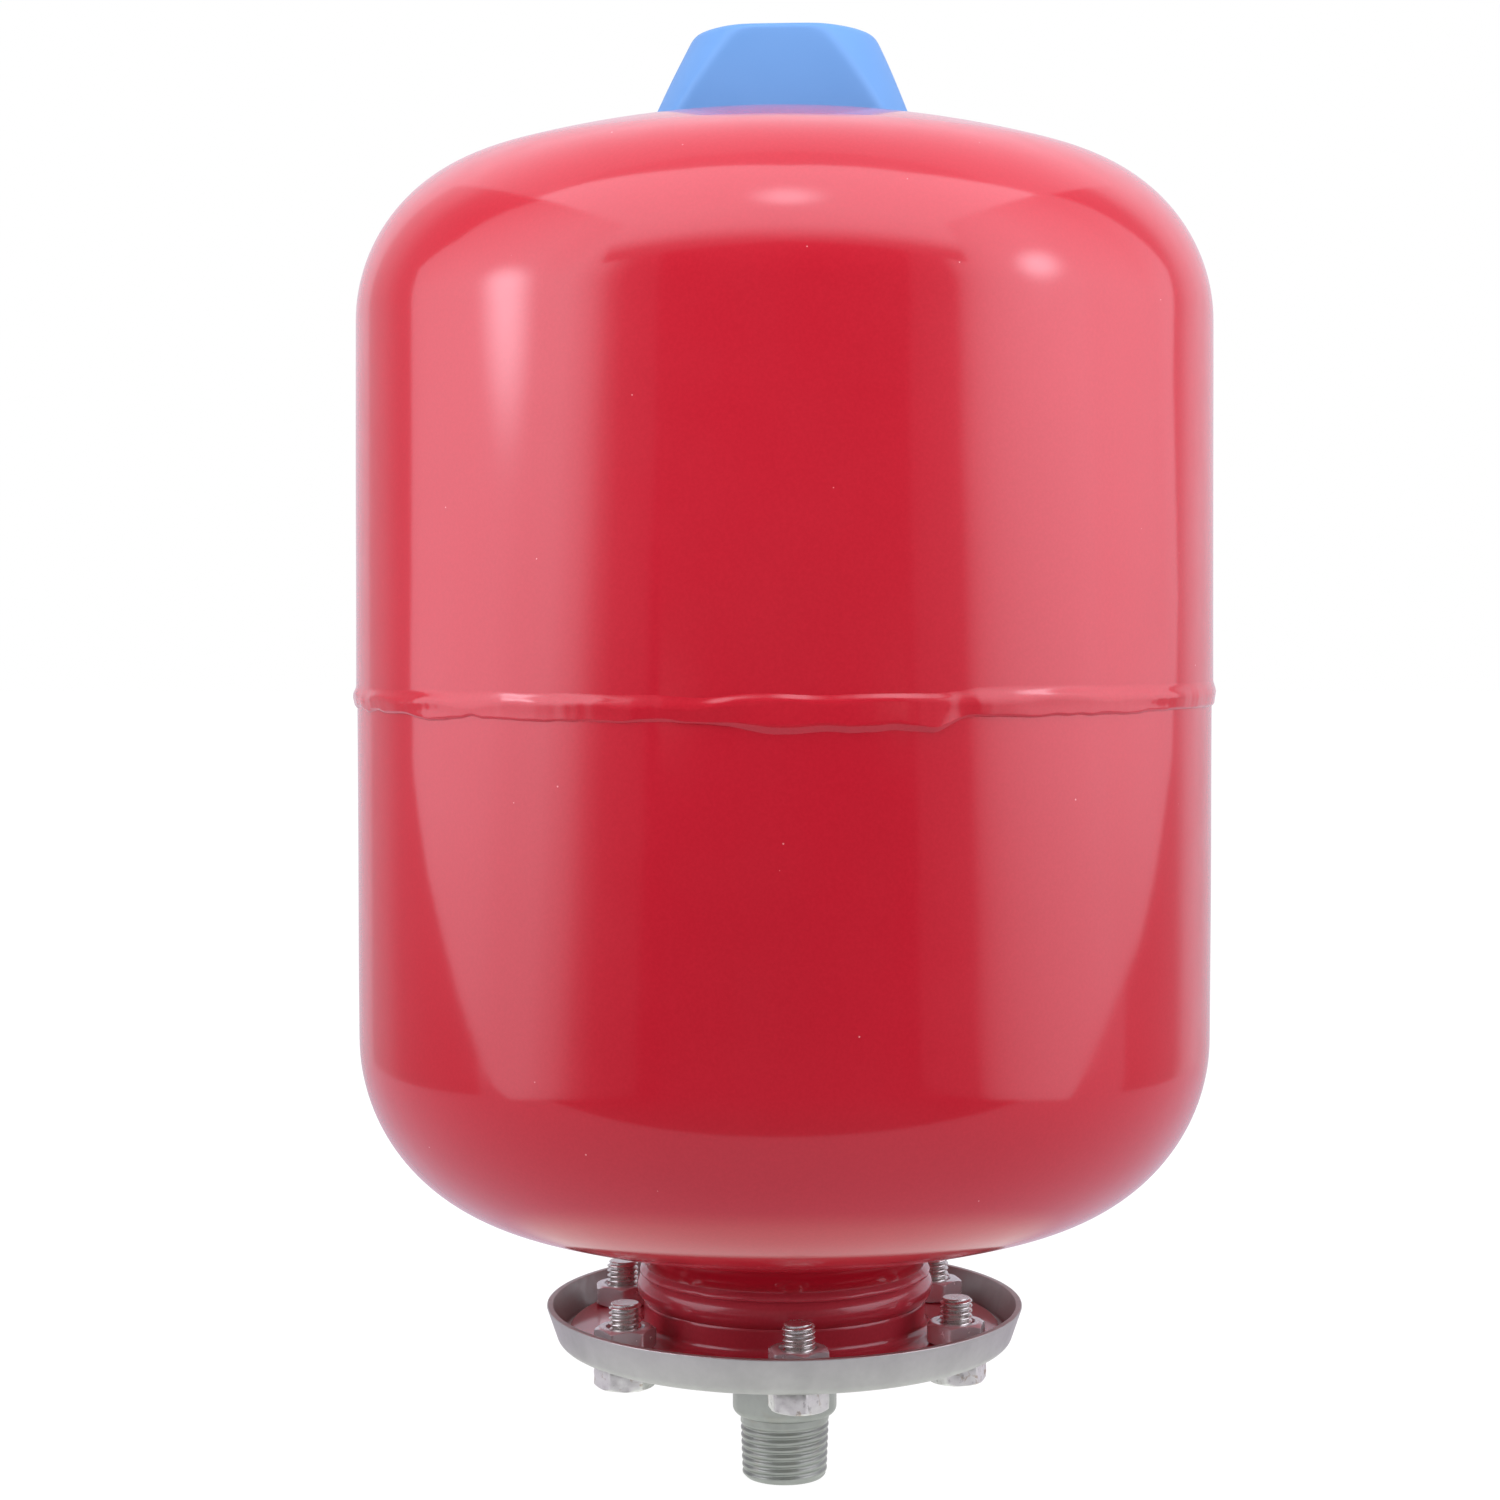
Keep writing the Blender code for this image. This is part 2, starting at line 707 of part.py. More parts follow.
valve_dust_cap = turned(
    "valve_dust_cap",
    rounded(
        [
            (0, DUST_CAP_TOP_Z, 0),
            (DUST_CAP_R, DUST_CAP_TOP_Z, 0.7),
            (DUST_CAP_R, DUST_CAP_BOTTOM_Z, 0.2),
            (DUST_CAP_BORE, DUST_CAP_BOTTOM_Z, 0),
            (DUST_CAP_BORE, DUST_CAP_TOP_Z - 0.7, 0),
            (0, DUST_CAP_TOP_Z - 0.7, 0),
        ],
        2,
    ),
    BLACK_PLASTIC,
    24,
    closed=False,
    origin_z=DUST_CAP_TOP_Z,
)
dust_cap_seal = turned(
    "dust_cap_seal",
    [
        (DUST_CAP_BORE - 0.15, DUST_CAP_TOP_Z - 0.8),
        (DUST_CAP_BORE - 0.15, STEM_TOP_Z + 0.15),
        (1.3, STEM_TOP_Z + 0.15),
        (1.3, DUST_CAP_TOP_Z - 0.8),
    ],
    EPDM,
    24,
    origin_z=DUST_CAP_TOP_Z,
)

# ---- valve cover with three finger grips ---------------------------------------------
cone_slope = (COVER_BASE_R - COVER_EDGE_R) / (COVER_EDGE_Z - COVER_BASE_Z)
cone_step = COVER_WALL * math.sqrt(1 + cone_slope**2)


def cone_r(z):
    return COVER_EDGE_R + cone_slope * (COVER_EDGE_Z - z)


def cover_turning(name, wall, low):
    top = COVER_TOP_Z - wall
    step = wall * math.sqrt(1 + cone_slope**2)
    corner = cone_r(top) - step
    return turned(
        name,
        [(0, top)]
        + rounded(
            [
                (corner / 2, top, 0),
                (corner, top, COVER_FILLET - wall * 0.8),
                (cone_r(low) - step, low, 0),
            ],
            4,
        )[:-1]
        + [(cone_r(low) - step, low), (0, low)],
        None,
        48,
        closed=False,
        cutter=True,
    )


def grip_cutters(name, distance):
    made = []
    for i in range(GRIPS):
        angle = math.radians(-90 + GRIP_TURN + 360 / GRIPS * i)
        reach = distance + GRIP_CURVE
        made.append(
            rod(
                f"{name}_{i + 1}",
                GRIP_CURVE,
                315.0,
                360.0,
                96,
                cutter=True,
                at=(reach * math.cos(angle), reach * math.sin(angle)),
                turn=math.degrees(angle),
            )
        )
    return made


cover_outside = cover_turning("valve_cover_outside", 0.0, 322.0)
cover_inside = cover_turning("valve_cover_inside", COVER_WALL, 318.0)
for cutter in grip_cutters("grip", GRIP_DISTANCE):
    boolean(cover_outside, cutter, "DIFFERENCE")
for cutter in grip_cutters("inner_grip", GRIP_DISTANCE - COVER_WALL):
    boolean(cover_inside, cutter, "DIFFERENCE")
boolean(cover_outside, cover_inside, "DIFFERENCE")
boolean(
    cover_outside,
    turned(
        "cover_thread_skirt",
        [
            (SKIRT_OUT, COVER_TOP_Z - COVER_WALL + 0.6),
            (SKIRT_OUT, SKIRT_BOTTOM_Z),
            (SKIRT_IN, SKIRT_BOTTOM_Z),
            (SKIRT_IN, COVER_TOP_Z - COVER_WALL + 0.6),
        ],
        None,
        24,
        cutter=True,
    ),
    "UNION",
)
crown_cutter = turned(
    "crown_clearance",
    arc((0, UPPER_CENTRE_Z), UPPER_CROWN + COVER_GAP, 90, 72, 18) + [(77, 300), (0, 300)],
    None,
    60,
    closed=False,
    cutter=True,
)
boolean(cover_outside, crown_cutter, "DIFFERENCE")
cover_mesh = evaluated_copy(cover_outside, "valve_cover")
cover_mesh.materials.clear()
cover_mesh.materials.append(BLUE)
cover_mesh.transform(Matrix.Translation((0, 0, -COVER_TOP_Z * MM)))
smooth(cover_mesh, 30)
valve_cover = bpy.data.objects.new("valve_cover", cover_mesh)
valve_cover.location.z = COVER_TOP_Z * MM
PARTS.objects.link(valve_cover)

cover_gasket = turned(
    "cover_gasket",
    [
        (SKIRT_IN - 0.3, BOSS_TOP_Z + 1.7),
        (SKIRT_IN - 0.3, BOSS_TOP_Z + 0.15),
        (WELL_R + 0.5, BOSS_TOP_Z + 0.15),
        (WELL_R + 0.5, BOSS_TOP_Z + 1.7),
    ],
    EPDM,
    24,
    origin_z=COVER_TOP_Z,
)
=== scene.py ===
"""The look of the expansion vessel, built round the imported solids.

Every length written as a number is in millimetres unless it says otherwise. Each shape
is worked out here from the vessel's own dimensions: shells, threads, hexagons, the weld
bead and the screw cover are all mesh, and every surface has a procedural material.
"""

import math

import bmesh
import bpy
import numpy as np
from mathutils import Matrix, Vector


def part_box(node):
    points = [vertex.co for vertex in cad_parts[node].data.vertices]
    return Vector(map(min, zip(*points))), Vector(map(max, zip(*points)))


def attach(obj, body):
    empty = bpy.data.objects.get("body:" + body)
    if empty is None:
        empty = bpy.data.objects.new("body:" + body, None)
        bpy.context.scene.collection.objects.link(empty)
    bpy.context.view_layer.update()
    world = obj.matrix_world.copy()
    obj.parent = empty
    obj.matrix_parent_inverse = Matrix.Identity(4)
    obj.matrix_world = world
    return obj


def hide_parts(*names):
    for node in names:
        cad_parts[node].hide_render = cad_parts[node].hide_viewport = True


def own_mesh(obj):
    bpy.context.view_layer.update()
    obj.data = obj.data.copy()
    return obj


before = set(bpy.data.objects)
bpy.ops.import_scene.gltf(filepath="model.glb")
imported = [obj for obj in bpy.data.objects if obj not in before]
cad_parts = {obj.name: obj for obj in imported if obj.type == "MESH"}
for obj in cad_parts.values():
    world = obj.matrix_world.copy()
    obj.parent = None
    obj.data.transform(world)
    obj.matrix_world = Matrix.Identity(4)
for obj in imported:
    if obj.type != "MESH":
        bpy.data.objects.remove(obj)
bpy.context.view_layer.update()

MM = 0.001
TAU = 2 * math.pi


# ======================================================================================
#  Dimensions shared with the solids
# ======================================================================================
SHEET = 1.2
UPPER_WAIST_R, UPPER_TOP_R, UPPER_TOP_Z = 103.4, 102.9, 281.0
UPPER_KNUCKLE, UPPER_CROWN, UPPER_EDGE_Z = 40.25, 249.7, 191.4
LOWER_WAIST_R, LOWER_BOTTOM_R, LOWER_BOTTOM_Z = 103.12, 103.03, 110.0
LOWER_KNUCKLE, LOWER_CROWN, LOWER_SHOULDER_Z = 45.0, 237.0, 190.2
JOGGLE_DROP, JOGGLE_TOP_Z = 1.5, 198.6
THROAT_R, THROAT_FILLET, THROAT_END_Z = 34.4, 7.0, 51.2
NECK_R, NECK_BORE, LIP_SEAT_R, LIP_SEAT_Z = 34.6, 31.0, 33.2, 39.0
RIB_R, RIB_Z, NECK_TOP_Z = 36.25, 47.7, 50.9
PLATE_R, PLATE_TOP_Z, PLATE_BOTTOM_Z = 52.7, 37.8, 35.8
DISH_RIM_R, DISH_RIM_Z, DISH_FOOT_R, DISH_BOTTOM_Z = 58.4, 43.3, 55.2, 34.1
DISH_SHEET, DISH_HOLE = 1.5, 10.8
HEX = 13.0
HEAD_TURN = (12, 40, 74, 21, 55, 33)
NUT_TURN = (12, 48, 20, 66, 3, 37)
BOSS_HOLE = 8.3
COVER_TOP_Z, COVER_EDGE_R, COVER_EDGE_Z = 350.7, 24.6, 345.3
COVER_BASE_R, COVER_BASE_Z, COVER_GAP = 33.6, 327.8, 0.4
GRIP_DISTANCE, GRIP_CURVE, GRIP_TURN = 19.5, 160.0, -4.0


# ======================================================================================
#  Mesh tools
# ======================================================================================
def arc(centre, radius, start, end, steps):
    a = np.radians(np.linspace(start, end, steps + 1))
    return [(centre[0] + radius * math.cos(t), centre[1] + radius * math.sin(t)) for t in a]


def line(a, b, steps):
    """Points after a up to b, so that a long straight wall can follow small undulations."""
    return [
        (a[0] + (b[0] - a[0]) * i / steps, a[1] + (b[1] - a[1]) * i / steps)
        for i in range(1, steps + 1)
    ]


def rounded(corners, steps=6):
    """A closed outline from (r, z, fillet radius) corners."""
    made = []
    count = len(corners)
    for i, (r, z, fillet) in enumerate(corners):
        here = Vector((r, z))
        if fillet <= 0:
            made.append((r, z))
            continue
        before = (Vector(corners[i - 1][:2]) - here).normalized()
        after = (Vector(corners[(i + 1) % count][:2]) - here).normalized()
        half = before.angle(after) / 2
        reach = fillet / math.tan(half)
        centre = here + (before + after).normalized() * (fillet / math.sin(half))
        first = here + before * reach - centre
        turn = first.angle_signed(here + after * reach - centre)
        for k in range(steps + 1):
            a = -turn * k / steps
            made.append(
                (
                    centre.x + first.x * math.cos(a) - first.y * math.sin(a),
                    centre.y + first.x * math.sin(a) + first.y * math.cos(a),
                )
            )
    return made


class Skin:
    """Collects grids and fans of points in millimetres, and welds them into one closed mesh."""

    def __init__(self):
        self.points = []
        self.faces = []
        self.count = 0

    def add(self, points):
        points = np.asarray(points, float).reshape(-1, 3)
        self.points.append(points)
        self.count += len(points)
        return self.count - len(points)

    def grid(self, points, closed_rows=False, round_again=True):
        """Quads over points[row, column]; columns run round and meet, rows meet if closed_rows."""
        rows, columns = points.shape[:2]
        base = self.add(points)
        r = np.arange(rows if closed_rows else rows - 1)
        c = np.arange(columns if round_again else columns - 1)
        r, c = [g.ravel() for g in np.meshgrid(r, c, indexing="ij")]
        r2, c2 = (r + 1) % rows, (c + 1) % columns
        quads = np.stack(
            [r * columns + c, r2 * columns + c, r2 * columns + c2, r * columns + c2], 1
        )
        self.faces.extend((quads + base).tolist())
        return base

    def pole(self, ring, tip):
        """Closes a ring of points with a fan to one tip."""
        base = self.add(ring)
        top = self.add([tip])
        n = len(ring)
        self.faces.extend([base + i, base + (i + 1) % n, top] for i in range(n))

    def mesh(self, name, weld=0.004, sharp=32.0):
        mesh = bpy.data.meshes.new(name)
        points = np.concatenate(self.points) * MM
        mesh.from_pydata(points.tolist(), [], self.faces)
        shape = bmesh.new()
        shape.from_mesh(mesh)
        bmesh.ops.remove_doubles(shape, verts=shape.verts, dist=weld * MM)
        bmesh.ops.dissolve_degenerate(shape, edges=shape.edges, dist=weld * MM * 0.5)
        bmesh.ops.recalc_face_normals(shape, faces=shape.faces)
        shape.to_mesh(mesh)
        shape.free()
        finish_shading(mesh, sharp)
        return mesh


def finish_shading(mesh, sharp):
    mesh.shade_smooth()
    mesh.set_sharp_from_angle(angle=math.radians(sharp))


def turn_points(outline, segments, push=None, turn=0.0, at=(0.0, 0.0)):
    """Points of an (r, z) outline turned about Z: [outline point, angle]. push(theta, r, z) moves a point outwards."""
    outline = np.asarray(outline, float)
    theta = np.arange(segments) * TAU / segments + turn
    r = np.repeat(outline[:, :1], segments, 1)
    z = np.repeat(outline[:, 1:], segments, 1)
    t = np.repeat(theta[None], len(outline), 0)
    if push is not None:
        r = r + push(t, r, z)
    return np.stack([at[0] + r * np.cos(t), at[1] + r * np.sin(t), z], 2)


def turned(name, outline, segments=96, push=None, sharp=32.0, closed=True):
    """A closed outline turned into a ring, or one whose ends lie on the axis turned into a solid."""
    skin = Skin()
    if closed:
        skin.grid(turn_points(outline, segments, push), closed_rows=True)
    else:
        inner = turn_points(outline[1:-1], segments, push)
        skin.grid(inner)
        skin.pole(inner[0], (0, 0, outline[0][1]))
        skin.pole(inner[-1], (0, 0, outline[-1][1]))
    return skin.mesh(name, sharp=sharp)


def screw_thread(low, high, pitch, radius, segments=48, per_pitch=10, at=(0.0, 0.0)):
    """Skin points of a thread whose rows follow the helix. radius(phase, z, theta) gives the radius; rows past either end are held at it."""
    first = -per_pitch
    last = int(math.ceil((high - low) / pitch * per_pitch))
    rows = np.arange(first, last + 1)
    theta = np.arange(segments) * TAU / segments
    z = low + pitch * (rows[:, None] / per_pitch + theta[None] / TAU)
    z = np.clip(z, low, high)
    t = np.repeat(theta[None], len(rows), 0)
    phase = np.mod((z - low) / pitch - t / TAU, 1.0)
    r = radius(phase, z, t)
    return np.stack([at[0] + r * np.cos(t), at[1] + r * np.sin(t), z], 2), per_pitch


def add_thread(skin, made):
    """Adds a thread's points, joining each row to the row one pitch higher where it has gone round."""
    points, shift = made
    rows, columns = points.shape[:2]
    base = skin.add(points)

    def at(i, j):
        if j == columns:
            i, j = i + shift, 0
        return base + min(max(i, 0), rows - 1) * columns + j

    for i in range(-shift, rows - 1):
        for j in range(columns):
            if 0 <= i or j == columns - 1:
                face = [at(i, j), at(i, j + 1), at(i + 1, j + 1), at(i + 1, j)]
                if len(set(face)) > 2:
                    skin.faces.append(list(dict.fromkeys(face)))
    return points


def v_thread(phase, crest=0.16, root=0.22):
    """0 on the crest and 1 in the root of a rounded V thread, over one pitch."""
    flank = (1 - crest - root) / 2
    x = np.abs(np.mod(phase + 0.5, 1.0) - 0.5)  # 0 on the crest's middle, 0.5 in the root's
    s = np.clip((x - crest / 2) / flank, 0, 1)
    return s * s * (3 - 2 * s) * 0.35 + s * 0.65


def waves(theta, z, terms):
    """A fixed sum of slow waves over the shell: (amplitude, waves round, height of one wave, phase)."""
    total = np.zeros_like(theta)
    for size, around, tall, phase in terms:
        total += size * np.sin(around * theta + phase) * np.cos(TAU * z / tall + 1.7 * phase)
    return total


def smooth_max(a, b, k):
    """Larger of two distances, blended over a width k."""
    h = np.clip(0.5 + 0.5 * (a - b) / k, 0, 1)
    return b * (1 - h) + a * h + k * h * (1 - h)


def smooth_step(x):
    x = np.clip(x, 0, 1)
    return x * x * (3 - 2 * x)


def ring_noise(theta, seed, low, high, size):
    """Smooth noise round a ring, from a seeded sum of whole waves."""
    rng = np.random.default_rng(seed)
    total = np.zeros_like(theta)
    weight = 0.0
    for n in range(low, high + 1):
        w = rng.uniform(0.4, 1.0)
        total += w * np.sin(n * theta + rng.uniform(0, TAU))
        weight += w * w / 2
    return size * total / math.sqrt(weight)


def piece(name, mesh, material, body, slot, *stands_for):
    obj = bpy.data.objects.new(name, mesh)
    bpy.context.scene.collection.objects.link(obj)
    mesh.materials.clear()
    mesh.materials.append(material)
    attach(obj, body)
    if stands_for:
        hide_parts(*stands_for)
    return obj


def cut_holes(mesh, name, places, radius, low, high, segments=48, sharp=32.0):
    """The mesh with round holes along Z at places."""
    host = bpy.data.objects.new(name + "_host", mesh)
    bpy.context.scene.collection.objects.link(host)
    cutters = []
    for i, (x, y) in enumerate(places):
        skin = Skin()
        ring = turn_points([(radius, high), (radius, low)], segments, at=(x, y))
        skin.grid(ring)
        skin.pole(ring[0], (x, y, high))
        skin.pole(ring[1], (x, y, low))
        cutter = bpy.data.objects.new(f"{name}_cutter_{i}", skin.mesh("cutter"))
        bpy.context.scene.collection.objects.link(cutter)
        cutters.append(cutter)
        cut = host.modifiers.new(f"hole_{i}", "BOOLEAN")
        cut.operation = "DIFFERENCE"
        cut.solver = "EXACT"
        cut.object = cutter
    bpy.context.view_layer.update()
    graph = bpy.context.evaluated_depsgraph_get()
    made = bpy.data.meshes.new_from_object(host.evaluated_get(graph))
    made.name = name
    for obj in cutters + [host]:
        bpy.data.objects.remove(obj, do_unlink=True)
    finish_shading(made, sharp)
    return made


# ======================================================================================
#  Materials
# ======================================================================================
class Paint:
    """A Principled material with short calls for the nodes behind its sockets."""

    def __init__(self, name, **constants):
        self.material = bpy.data.materials.new(name)
        self.material.use_nodes = True
        self.tree = self.material.node_tree
        self.shader = self.tree.nodes["Principled BSDF"]
        self.coordinates = self.tree.nodes.new("ShaderNodeTexCoord").outputs["Object"]
        for socket, value in constants.items():
            self.shader.inputs[socket.replace("_", " ")].default_value = value

    def node(self, kind, **settings):
        made = self.tree.nodes.new(kind)
        for key, value in settings.items():
            setattr(made, key, value)
        return made

    def link(self, a, b):
        self.tree.links.new(a, b)

    def stretched(self, scale):
        made = self.node("ShaderNodeMapping")
        made.inputs["Scale"].default_value = scale
        self.link(self.coordinates, made.inputs["Vector"])
        return made.outputs["Vector"]

    def noise(self, scale, detail=2.0, roughness=0.5, vector=None, distortion=0.0):
        made = self.node("ShaderNodeTexNoise")
        made.inputs["Scale"].default_value = scale
        made.inputs["Detail"].default_value = detail
        made.inputs["Roughness"].default_value = roughness
        made.inputs["Distortion"].default_value = distortion
        self.link(vector or self.coordinates, made.inputs["Vector"])
        return made.outputs["Fac"]

    def cells(self, scale, feature="F1", vector=None):
        made = self.node("ShaderNodeTexVoronoi", feature=feature)
        made.inputs["Scale"].default_value = scale
        self.link(vector or self.coordinates, made.inputs["Vector"])
        return made

    def ramp(self, value, stops, interpolation="LINEAR"):
        made = self.node("ShaderNodeValToRGB")
        made.color_ramp.interpolation = interpolation
        elements = made.color_ramp.elements
        while len(elements) < len(stops):
            elements.new(0.5)
        for element, (where, colour) in zip(elements, stops):
            element.position = where
            element.color = (*colour, 1.0) if len(colour) == 3 else colour
        self.link(value, made.inputs["Fac"])
        return made.outputs["Color"]

    def span(self, value, low, high, to_low, to_high):
        made = self.node("ShaderNodeMapRange")
        for socket, number in zip(("From Min", "From Max", "To Min", "To Max"), (low, high, to_low, to_high)):
            made.inputs[socket].default_value = number
        self.link(value, made.inputs["Value"])
        return made.outputs["Result"]

    def maths(self, operation, a, b=None):
        made = self.node("ShaderNodeMath", operation=operation)
        for i, x in enumerate((a, b)):
            if x is None:
                continue
            if isinstance(x, (int, float)):
                made.inputs[i].default_value = x
            else:
                self.link(x, made.inputs[i])
        return made.outputs["Value"]

    def mix(self, fac, a, b, blend="MIX"):
        made = self.node("ShaderNodeMix", data_type="RGBA", blend_type=blend)
        for socket, x in ((0, fac), (6, a), (7, b)):
            if isinstance(x, (int, float)):
                made.inputs[socket].default_value = x
            elif isinstance(x, tuple):
                made.inputs[socket].default_value = (*x, 1.0)
            else:
                self.link(x, made.inputs[socket])
        return made.outputs[2]

    def bump(self, height, strength, depth, normal=None):
        made = self.node("ShaderNodeBump")
        made.inputs["Strength"].default_value = strength
        made.inputs["Distance"].default_value = depth
        self.link(height, made.inputs["Height"])
        if normal is not None:
            self.link(normal, made.inputs["Normal"])
        return made.outputs["Normal"]

    def to(self, socket, output):
        self.link(output, self.shader.inputs[socket])
        return self


def red_coat(name, deep, bright, peel=1.0, specks=True):
    """Glossy red powder coat: a soft body colour under a clear skin with orange peel."""
    p = Paint(
        name,
        Coat_Weight=1.0,
        Coat_Roughness=0.10,
        Coat_IOR=1.5,
        Specular_IOR_Level=0.12,
    )
    cloud = p.noise(9.0, 3.0, 0.55)
    grain = p.noise(1400.0, 2.0, 0.6)
    colour = p.ramp(cloud, [(0.30, deep), (0.70, bright)])
    colour = p.mix(p.span(grain, 0.35, 0.75, 0.0, 0.16), colour, tuple(min(1.0, c * 1.5 + 0.01) for c in bright))
    height = p.noise(330.0, 2.0, 0.5)
    if specks:
        dots = p.cells(190.0)
        near = p.maths("LESS_THAN", dots.outputs["Distance"], 0.036)
        split = p.node("ShaderNodeSeparateColor")
        p.link(dots.outputs["Color"], split.inputs["Color"])
        chosen = p.maths("GREATER_THAN", split.outputs["Red"], 0.80)
        spot = p.maths("MULTIPLY", near, chosen)
        colour = p.mix(p.maths("MULTIPLY", spot, 0.55), colour, (0.86, 0.42, 0.42))
        height = p.maths("ADD", height, p.maths("MULTIPLY", spot, 0.8))
    p.to("Base Color", colour)
    p.to("Roughness", p.span(p.noise(60.0, 3.0), 0.3, 0.7, 0.30, 0.40))
    normal = p.bump(height, 0.10 * peel, 0.00006)
    normal = p.bump(p.noise(38.0, 1.0, 0.4), 0.30 * peel, 0.00010, normal)
    p.to("Normal", normal)
    p.to("Coat Normal", normal)
    return p.material


def galvanised(name, tint, rough, mottle=1.0, stain=0.0, metal=1.0, scale=1.0):
    """Zinc: a mottled, slightly crystalline grey with worn, duller and stained patches."""
    p = Paint(name, Metallic=metal)
    patches = p.noise(70.0 * scale, 4.0, 0.6)
    fine = p.noise(520.0 * scale, 3.0, 0.65)
    flakes = p.cells(210.0 * scale)
    split = p.node("ShaderNodeSeparateColor")
    p.link(flakes.outputs["Color"], split.inputs["Color"])
    low = tuple(c * (1 - 0.22 * mottle) for c in tint)
    high = tuple(min(1.0, c * (1 + 0.12 * mottle)) for c in tint)
    colour = p.ramp(patches, [(0.30, low), (0.52, tint), (0.72, high)])
    colour = p.mix(p.span(split.outputs["Green"], 0.0, 1.0, 0.0, 0.16 * mottle), colour, low)
    colour = p.mix(p.span(fine, 0.35, 0.7, 0.0, 0.25 * mottle), colour, high)
    if stain:
        marks = p.noise(165.0 * scale, 3.0, 0.6, distortion=0.6)
        colour = p.mix(p.span(marks, 0.56, 0.70, 0.0, stain), colour, (0.30, 0.21, 0.10))
        dark = p.noise(240.0 * scale, 3.0, 0.6)
        colour = p.mix(p.span(dark, 0.60, 0.74, 0.0, stain * 0.8), colour, (0.16, 0.16, 0.15))
    p.to("Base Color", colour)
    p.to("Roughness", p.span(fine, 0.25, 0.75, rough - 0.08, rough + 0.10))
    normal = p.bump(patches, 0.25 * mottle, 0.00012)
    normal = p.bump(fine, 0.25 * mottle, 0.00004, normal)
    p.to("Normal", normal)
    return p.material


def turned_metal(name, tint, rough, rings=900.0):
    """Machined metal with fine tool marks round the Z axis."""
    p = Paint(name, Metallic=1.0)
    marks = p.noise(1.0, 2.0, 0.5, vector=p.stretched((40.0, 40.0, rings * 4)))
    patches = p.noise(260.0, 3.0)
    low = tuple(c * 0.78 for c in tint)
    colour = p.mix(p.span(patches, 0.35, 0.7, 0.0, 0.5), tint, low)
    colour = p.mix(p.span(marks, 0.4, 0.7, 0.0, 0.3), colour, low)
    p.to("Base Color", colour)
    p.to("Roughness", p.span(marks, 0.3, 0.7, rough, rough + 0.14))
    p.to("Normal", p.bump(marks, 0.15, 0.00003))
    return p.material


def rubber(name, tint=(0.022, 0.022, 0.023), talc=0.25):
    """Moulded EPDM: black, matt, with a breath of talc and a fine leathery skin."""
    p = Paint(name, Specular_IOR_Level=0.35, Sheen_Weight=0.12, Sheen_Roughness=0.5)
    cloud = p.noise(45.0, 4.0, 0.6)
    skin = p.noise(1500.0, 2.0, 0.6)
    colour = p.mix(p.span(cloud, 0.45, 0.8, 0.0, talc), tint, (0.13, 0.13, 0.125))
    p.to("Base Color", colour)
    p.to("Roughness", p.span(cloud, 0.3, 0.7, 0.58, 0.78))
    p.to("Normal", p.bump(skin, 0.3, 0.00003))
    return p.material


def plastic(name, tint, light, rough, skin_scale=1500.0, skin=0.18):
    """Injection-moulded plastic: a little cloudiness in the colour and a fine spark-eroded skin."""
    p = Paint(name, IOR=1.49, Subsurface_Weight=0.0)
    cloud = p.noise(34.0, 2.0, 0.5)
    grain = p.noise(skin_scale, 2.0, 0.6)
    colour = p.ramp(cloud, [(0.30, tint), (0.72, light)])
    colour = p.mix(p.span(grain, 0.3, 0.7, 0.0, 0.10), colour, light)
    p.to("Base Color", colour)
    p.to("Roughness", p.span(cloud, 0.3, 0.7, rough - 0.04, rough + 0.06))
    normal = p.bump(grain, skin, 0.00002)
    normal = p.bump(p.noise(60.0, 1.0), 0.12, 0.00008, normal)
    p.to("Normal", normal)
    return p.material


RED = red_coat("red_powder_coat", (0.385, 0.0048, 0.0155), (0.420, 0.0060, 0.0185))
BEAD_RED = red_coat("red_coat_over_weld", (0.385, 0.0050, 0.0155), (0.430, 0.0070, 0.0195), peel=1.6)
# The neck's coat is the body's red made lighter and pinker: painted light, standing in for the light and reflections
# the neck catches under the dome. The paint itself is the same.
NECK_RED_PAINTED_LIGHT = red_coat("red_coat_neck_painted_light", (0.490, 0.0360, 0.0560), (0.545, 0.0450, 0.0680), peel=1.4)
ZINC = galvanised("galvanised_sheet", (0.480, 0.490, 0.465), 0.46, mottle=0.6, metal=0.9)
BOLT_ZINC = galvanised("galvanised_bolt", (0.68, 0.70, 0.655), 0.36, mottle=1.4, stain=0.80, metal=0.8, scale=2.0)
THREAD_ZINC = galvanised("galvanised_stud", (0.74, 0.745, 0.71), 0.22, mottle=0.2, stain=0.0, metal=0.85, scale=1.0)
NUT_ZINC = galvanised("plated_nut", (0.76, 0.78, 0.775), 0.20, mottle=0.10, stain=0.0, metal=0.60, scale=1.0)
NIPPLE_ZINC = galvanised("galvanised_nipple", (0.350, 0.372, 0.345), 0.36, mottle=0.6, stain=0.10, metal=0.9, scale=1.4)
STEEL = turned_metal("bare_steel", (0.40, 0.39, 0.38), 0.34)
WELD_STEEL = galvanised("bare_weld", (0.33, 0.31, 0.29), 0.45, mottle=1.4, stain=0.4, metal=1.0, scale=1.6)
BRASS = turned_metal("turned_brass", (0.72, 0.53, 0.24), 0.22)
SPRING = turned_metal("spring_wire", (0.45, 0.45, 0.47), 0.24)
EPDM = rubber("epdm_bladder")
SEAL = rubber("epdm_seal", (0.018, 0.018, 0.018), 0.10)
BLUE = plastic("blue_cover", (0.080, 0.238, 0.490), (0.096, 0.262, 0.520), 0.50)
BLACK = plastic("black_dust_cap", (0.016, 0.016, 0.018), (0.035, 0.035, 0.038), 0.40)


